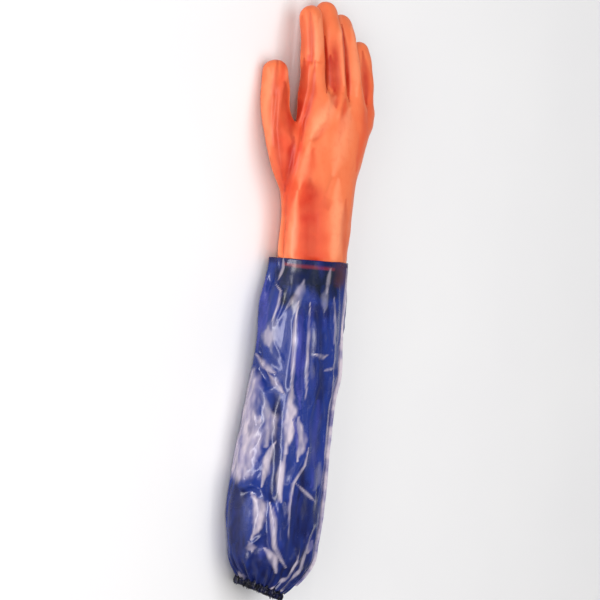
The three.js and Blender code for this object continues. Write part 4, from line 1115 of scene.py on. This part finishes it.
def pleat_mesh():
    """One small pleat of film: a bent, closed lens, tall along X and long along Z, in millimetres."""
    points = []
    for r in range(PLEAT_RINGS):
        along = (r / (PLEAT_RINGS - 1) - 0.5) * PLEAT_LENGTH
        girth = math.cos(math.radians(along / PLEAT_LENGTH * PLEAT_TAPER))
        for i in range(PLEAT_SIDES):
            turn = 2 * math.pi * i / PLEAT_SIDES
            tall = math.cos(turn) * PLEAT_TALL * girth
            thick = math.sin(turn) * PLEAT_THICK * (0.35 + 0.65 * girth)
            points.append((tall, thick + 0.35 * math.sin(along * 0.9), along))
    return smooth_mesh("pleat", points, rod_faces(PLEAT_RINGS, PLEAT_SIDES))


class Value:
    """A node's output. Python's operators build on it with Math nodes."""

    def __init__(self, nodes, socket):
        self.nodes, self.socket = nodes, socket

    def worked(self, operation, *values):
        return self.nodes.node("ShaderNodeMath", {"operation": operation}, *values)

    def __add__(self, other):
        return self.worked("ADD", self, other)

    def __radd__(self, other):
        return self.worked("ADD", other, self)

    def __mul__(self, other):
        return self.worked("MULTIPLY", self, other)

    def __rmul__(self, other):
        return self.worked("MULTIPLY", other, self)


class Nodes:
    """A node tree, and the one way in which its nodes are made."""

    def __init__(self, tree):
        self.tree = tree

    def node(self, kind, settings=None, *values, out=None, **named):
        """A node with its settings, then the values or links of its sockets, in order or by name. out names
        its output, which is otherwise the first in use."""
        made = self.tree.nodes.new(kind)
        for key, value in (settings or {}).items():
            setattr(made, key, value)
        used = {socket.name.replace(" ", "_"): socket for socket in reversed(made.inputs) if socket.enabled}
        pairs = [*zip(made.inputs, values), *((used[key], value) for key, value in named.items())]
        for socket, value in pairs:
            if isinstance(value, Value):
                self.tree.links.new(value.socket, socket)
            else:
                socket.default_value = value
        return Value(self, made.outputs[out] if out else next((o for o in made.outputs if o.enabled), None))


class Tree(Nodes):
    """A Geometry Nodes tree with named inputs."""

    def __init__(self, name, **inputs):
        super().__init__(bpy.data.node_groups.new(name, "GeometryNodeTree"))
        self.tree.is_modifier = True
        face = self.tree.interface
        face.new_socket("Geometry", in_out="INPUT", socket_type="NodeSocketGeometry")
        face.new_socket("Geometry", in_out="OUTPUT", socket_type="NodeSocketGeometry")
        self.values = {
            face.new_socket(key, in_out="INPUT", socket_type=kind).identifier: value
            for key, (kind, value) in inputs.items()
        }

    def given(self, name):
        return self.node("NodeGroupInput", out=name)

    def run(self, piece, result, name):
        """Runs the tree on a piece and gives a plain mesh object with its result."""
        self.node("NodeGroupOutput", None, result)
        modifier = piece.modifiers.new(name, "NODES")
        modifier.node_group = self.tree
        for identifier, value in self.values.items():
            modifier[identifier] = value
        mesh = evaluated_mesh(piece)
        piece.modifiers.remove(modifier)
        bpy.data.objects.remove(piece)
        mesh.name = name
        return added(name, mesh)


def make_gathers(material):
    """The small pleats that the elastic draws the hem into, set round the mouth."""
    tree = Tree(
        "hem_gathers",
        Count=("NodeSocketInt", GATHERS),
        Radius=("NodeSocketFloat", MOUTH_RADIUS - 0.1),
        Seed=("NodeSocketInt", 5),
    )

    def drawn(low, high):
        return tree.node("FunctionNodeRandomValue", {"data_type": "FLOAT_VECTOR"}, Min=low, Max=high,
                         Seed=tree.given("Seed"))

    ring = tree.node("GeometryNodeMeshCircle", Vertices=tree.given("Count"), Radius=tree.given("Radius"))
    place = tree.node("GeometryNodeInputPosition")
    size = drawn((0.5, 0.8, 0.6), (1.25, 1.7, 1.05))
    shift = drawn((-0.5, -0.5, -1.0), (0.5, 0.5, 1.2))
    swing = drawn((-0.45, -0.2, -0.6), (0.45, 0.2, 0.6))
    facing = tree.node("FunctionNodeAlignRotationToVector", {"axis": "X", "pivot_axis": "Z"}, Vector=place)
    turned = tree.node("FunctionNodeEulerToRotation", Euler=swing)
    both = tree.node("FunctionNodeRotateRotation", {"rotation_space": "LOCAL"}, Rotation=facing,
                     Rotate_By=turned)
    moved = tree.node("GeometryNodeSetPosition", Geometry=ring, Offset=shift)
    set_out = tree.node("GeometryNodeInstanceOnPoints", Points=moved, Instance=tree.given("Geometry"),
                        Rotation=both, Scale=size)
    real = tree.node("GeometryNodeRealizeInstances", Geometry=set_out)
    dressed = tree.node("GeometryNodeSetMaterial", Geometry=real, Material=material)
    piece = tree.run(added("pleat", pleat_mesh()), dressed, "hem_gathers")
    mesh = piece.data
    flat = np.empty(len(mesh.vertices) * 3, np.float32)
    mesh.vertices.foreach_get("co", flat)
    across, up, out = flat.reshape(-1, 3, 1).astype(float).transpose(1, 0, 2)
    placed = MOUTH_MIDDLE + across * MOUTH_SIDE + up * MOUTH_UP + (out + HEM_LENGTH / 2) * MOUTH_OUT
    placed[:, 2] = np.maximum(placed[:, 2], FLOOR_GAP)
    mesh.vertices.foreach_set("co", ((placed + JOINT_PLACE) * MM).ravel())
    mesh.polygons.foreach_set("use_smooth", np.ones(len(mesh.polygons), bool))
    mesh.update()
    face_outwards(piece)
    return piece


# Finishes

class Finish(Nodes):
    """A material of one Principled shader, and the nodes that feed it."""

    def __init__(self, name, **constants):
        self.material = bpy.data.materials.new(name)
        self.material.use_nodes = True
        super().__init__(self.material.node_tree)
        self.tree.nodes.clear()
        shader = self.node("ShaderNodeBsdfPrincipled", **constants)
        self.node("ShaderNodeOutputMaterial", Surface=shader)
        self.inputs = shader.socket.node.inputs
        self.place = self.node("ShaderNodeTexCoord", out="Object")

    def feed(self, name, value):
        self.tree.links.new(value.socket, self.inputs[name])

    def colour_and_painted_light(self):
        """The colour that the piece's points hold, painted light and shade included."""
        return self.node("ShaderNodeAttribute", {"attribute_name": "colour_and_painted_light"}, out="Color")

    def noise(self, size, detail=3, stretch=None):
        """Noise with lumps of the given size in millimetres, over coordinates stretched along each axis."""
        place = self.node("ShaderNodeMapping", Vector=self.place, Scale=stretch) if stretch else self.place
        return self.node("ShaderNodeTexNoise", Vector=place, Scale=1 / (size * MM), Detail=detail)

    def between(self, value, low, high):
        """0 below low, 1 above high and smooth between them."""
        return self.node("ShaderNodeMapRange", {"interpolation_type": "SMOOTHSTEP"}, Value=value,
                         From_Min=low, From_Max=high)

    def mix(self, share, a, b):
        """Colour a where share is 0 and colour b where it is 1."""
        a, b = (colour if isinstance(colour, Value) else (*colour, 1) for colour in (a, b))
        return self.node("ShaderNodeMix", {"data_type": "RGBA"}, Factor=share, A=a, B=b)

    def bump(self, height, deep, strength):
        """Low relief. deep is its depth in millimetres where height goes from 0 to 1."""
        relief = self.node("ShaderNodeBump", Height=height, Distance=deep * MM, Strength=strength)
        self.feed("Normal", relief)


def orange_coat():
    """Dipped PVC: satin, with the soft mottle of a thick coat, over its points' colour with painted shade in
    its dips and painted highlights on its crests.
    """
    finish = Finish("orange_pvc", IOR=1.5, Specular_IOR_Level=0.18)
    cloud = finish.between(finish.noise(34, 2), 0.35, 0.68)
    mottle = finish.noise(7, 4)
    colour = finish.mix(cloud * 0.22, finish.colour_and_painted_light(), (0.9, 0.27, 0.115))
    colour = finish.mix(finish.between(mottle, 0.45, 0.78) * 0.22, colour, (0.8, 0.1, 0.034))
    finish.feed("Base Color", colour)
    finish.feed("Roughness", 0.36 + 0.14 * mottle)
    grain = finish.noise(0.9, 3)
    wrinkle = finish.noise(5.5, 4, (1, 0.45, 1))
    finish.bump(grain * 0.25 + wrinkle, 0.45, 0.6)
    return finish.material


def blue_film():
    """Clear glossy film: deep blue in soft random clouds, over its points' colour: painted reflections,
    painted shade in its valleys, and dark where the cuff shows through it.
    """
    finish = Finish("blue_pvc_film", IOR=1.55, Specular_IOR_Level=0.26)
    cloud = finish.noise(22, 3, (1.6, 0.6, 1.6))
    colour = finish.mix(finish.between(cloud, 0.5, 0.72) * 0.35, finish.colour_and_painted_light(), (0.03, 0.042, 0.29))
    colour = finish.mix(finish.between(cloud, 0.48, 0.3) * 0.4, colour, (0.006, 0.014, 0.11))
    finish.feed("Base Color", colour)
    finish.feed("Roughness", 0.16 + 0.2 * finish.noise(18, 3))
    finish.bump(finish.noise(4.0, 3, (1, 0.6, 1)), 0.4, 0.35)
    return finish.material


def welded_film():
    """Two layers of film, coloured pale: a painted highlight of pale lilac in soft clouds over violet."""
    finish = Finish("welded_film", IOR=1.55, Specular_IOR_Level=0.5)
    cloud = finish.noise(16, 3)
    colour = finish.mix(finish.between(cloud, 0.3, 0.6), (0.16, 0.15, 0.34), (0.62, 0.54, 0.6))
    finish.feed("Base Color", colour)
    finish.feed("Roughness", 0.2 + 0.2 * cloud)
    finish.bump(finish.noise(1.6, 2, (1, 0.3, 1)), 0.25, 0.4)
    return finish.material


def dark_hem():
    """Crumpled film over black elastic: almost black, with small sharp shines."""
    finish = Finish("crinkled_dark_film", IOR=1.55, Specular_IOR_Level=0.14)
    cloud = finish.noise(5, 3)
    colour = finish.mix(finish.between(cloud, 0.4, 0.7), (0.002, 0.0025, 0.007), (0.006, 0.008, 0.04))
    finish.feed("Base Color", colour)
    finish.feed("Roughness", 0.08 + 0.14 * cloud)
    finish.bump(finish.noise(1.3, 3), 0.4, 0.5)
    return finish.material


def woven_elastic():
    """Matt black ribs."""
    finish = Finish("woven_elastic", IOR=1.45)
    ribs = finish.node("ShaderNodeTexWave", {"wave_type": "BANDS", "bands_direction": "Y"}, out="Fac",
                       Vector=finish.place, Scale=220.0, Distortion=1.5, Detail=2.0)
    finish.feed("Base Color", finish.mix(ribs, (0.008, 0.008, 0.009), (0.03, 0.03, 0.034)))
    finish.feed("Roughness", 0.7 + 0.2 * ribs)
    finish.bump(ribs, 0.3, 0.7)
    return finish.material


# Studio

FLOOR_HALF = 12.0


def plain_floor():
    """An almost white floor, far wider than the picture."""
    finish = Finish("pale_floor")
    finish.feed("Base Color", finish.mix(finish.noise(160, 2), (0.86, 0.86, 0.87), (0.9, 0.9, 0.9)))
    finish.feed("Roughness", 0.6 + 0.1 * finish.noise(60, 2))
    mesh = bpy.data.meshes.new("floor")
    corners = ((-1, -1), (1, -1), (1, 1), (-1, 1))
    mesh.from_pydata([(x * FLOOR_HALF, y * FLOOR_HALF, 0) for x, y in corners], [], [(0, 1, 2, 3)])
    mesh.materials.append(finish.material)
    floor = added("floor", mesh)


def soft_box(name, swing, rise, distance, size, power, colour=(1, 1, 1), shines=True, lights=True):
    """A soft box aimed at the joint. swing is its angle to the left of the line of sight, in degrees, and rise
    how far it stands towards the fingers. shines is whether its reflection shows, lights whether it lights."""
    turn = math.radians(swing)
    toward = math.cos(turn) * TO_EYE - math.sin(turn) * ACROSS
    aim = (np.array((0, 0, JOINT_HEIGHT)) + JOINT_PLACE) * MM
    place = aim + toward * distance + np.array((0, rise, 0))
    light = bpy.data.lights.new(name, "AREA")
    light.shape = "RECTANGLE"
    light.size, light.size_y = size
    light.energy = power
    light.color = colour
    lamp = added(name, light)
    back = Vector(place - aim).normalized()
    along = Vector((0, 1, 0))
    side = along.cross(back).normalized()
    axes = Matrix((side, back.cross(side), back)).transposed()
    lamp.matrix_world = Matrix.Translation(place) @ axes.to_4x4()
    lamp.visible_camera = False
    lamp.visible_glossy = shines
    lamp.visible_diffuse = lights


ROOM_LIGHT = 0.4
ROOM_SHOWN = 0.95


def studio_lights():
    """Soft boxes for the shines and the light that the picture shows, in a pale room."""
    soft_box("thumb_side_shine", 22, 0.1, 2.2, (0.6, 2.4), 84, (1.0, 0.96, 0.94), lights=False)
    soft_box("thumb_side_light", 16, 0.1, 2.2, (0.9, 2.4), 20, (1.0, 0.97, 0.95), shines=False)
    soft_box("overhead", -46, 0.0, 1.7, (1.9, 2.2), 19.5, shines=False)
    soft_box("sight_strip", -3, 0.0, 1.6, (0.12, 1.5), 6.0, (1.0, 0.93, 0.93))
    soft_box("outer_strip", -58, 0.0, 1.6, (0.07, 1.5), 2.0, (0.95, 0.95, 1.0))
    world = bpy.data.worlds.new("pale_room")
    world.use_nodes = True
    room = Nodes(world.node_tree)
    room.tree.nodes.clear()
    direct = room.node("ShaderNodeLightPath", out="Is Camera Ray")
    strength = room.node("ShaderNodeMapRange", Value=direct, To_Min=ROOM_LIGHT, To_Max=ROOM_SHOWN)
    back = room.node("ShaderNodeBackground", Strength=strength)
    room.node("ShaderNodeOutputWorld", Surface=back)
    bpy.context.scene.world = world
    bpy.context.scene.view_settings.view_transform = "Standard"


LENS = 400
SENSOR = 36


def studio_camera():
    """A long lens square to the picture's plane, with the joint at its place in the picture."""
    right = math.cos(LEAN) * ACROSS + math.sin(LEAN) * np.array((0, 1, 0))
    up = math.cos(LEAN) * np.array((0, 1, 0)) - math.sin(LEAN) * ACROSS
    offset = (PICTURE_SIZE / 2 - JOINT_PIXEL) * MM_PER_PIXEL
    aim = np.array((0, 0, JOINT_HEIGHT)) + offset[0] * right - offset[1] * up
    aim = (aim + JOINT_PLACE) * MM
    distance = LENS / SENSOR * PICTURE_SIZE * MM_PER_PIXEL * MM
    lens = bpy.data.cameras.new("camera")
    lens.lens, lens.sensor_width = LENS, SENSOR
    lens.clip_end = 50
    camera = added("camera", lens)
    axes = Matrix((right, up, TO_EYE)).transposed()
    camera.matrix_world = Matrix.Translation(aim + TO_EYE * distance) @ axes.to_4x4()
    bpy.context.scene.camera = camera


def build():
    hand = make_hand(orange_coat())
    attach(hand, "root")
    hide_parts("hand_shell")

    film, points = make_film(blue_film())
    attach(film, "root")
    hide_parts("film_sleeve")

    weld = make_weld(points, welded_film())
    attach(weld, "root")
    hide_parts("side_weld")

    hem_film = dark_hem()
    hem = make_hem(hem_film)
    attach(hem, "root")
    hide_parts("gathered_hem")

    gathers = make_gathers(hem_film)
    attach(gathers, "root")

    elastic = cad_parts["hem_elastic"]
    finish = woven_elastic()
    for place in elastic.material_slots:
        place.material = finish


studio_camera()
build()
plain_floor()
studio_lights()
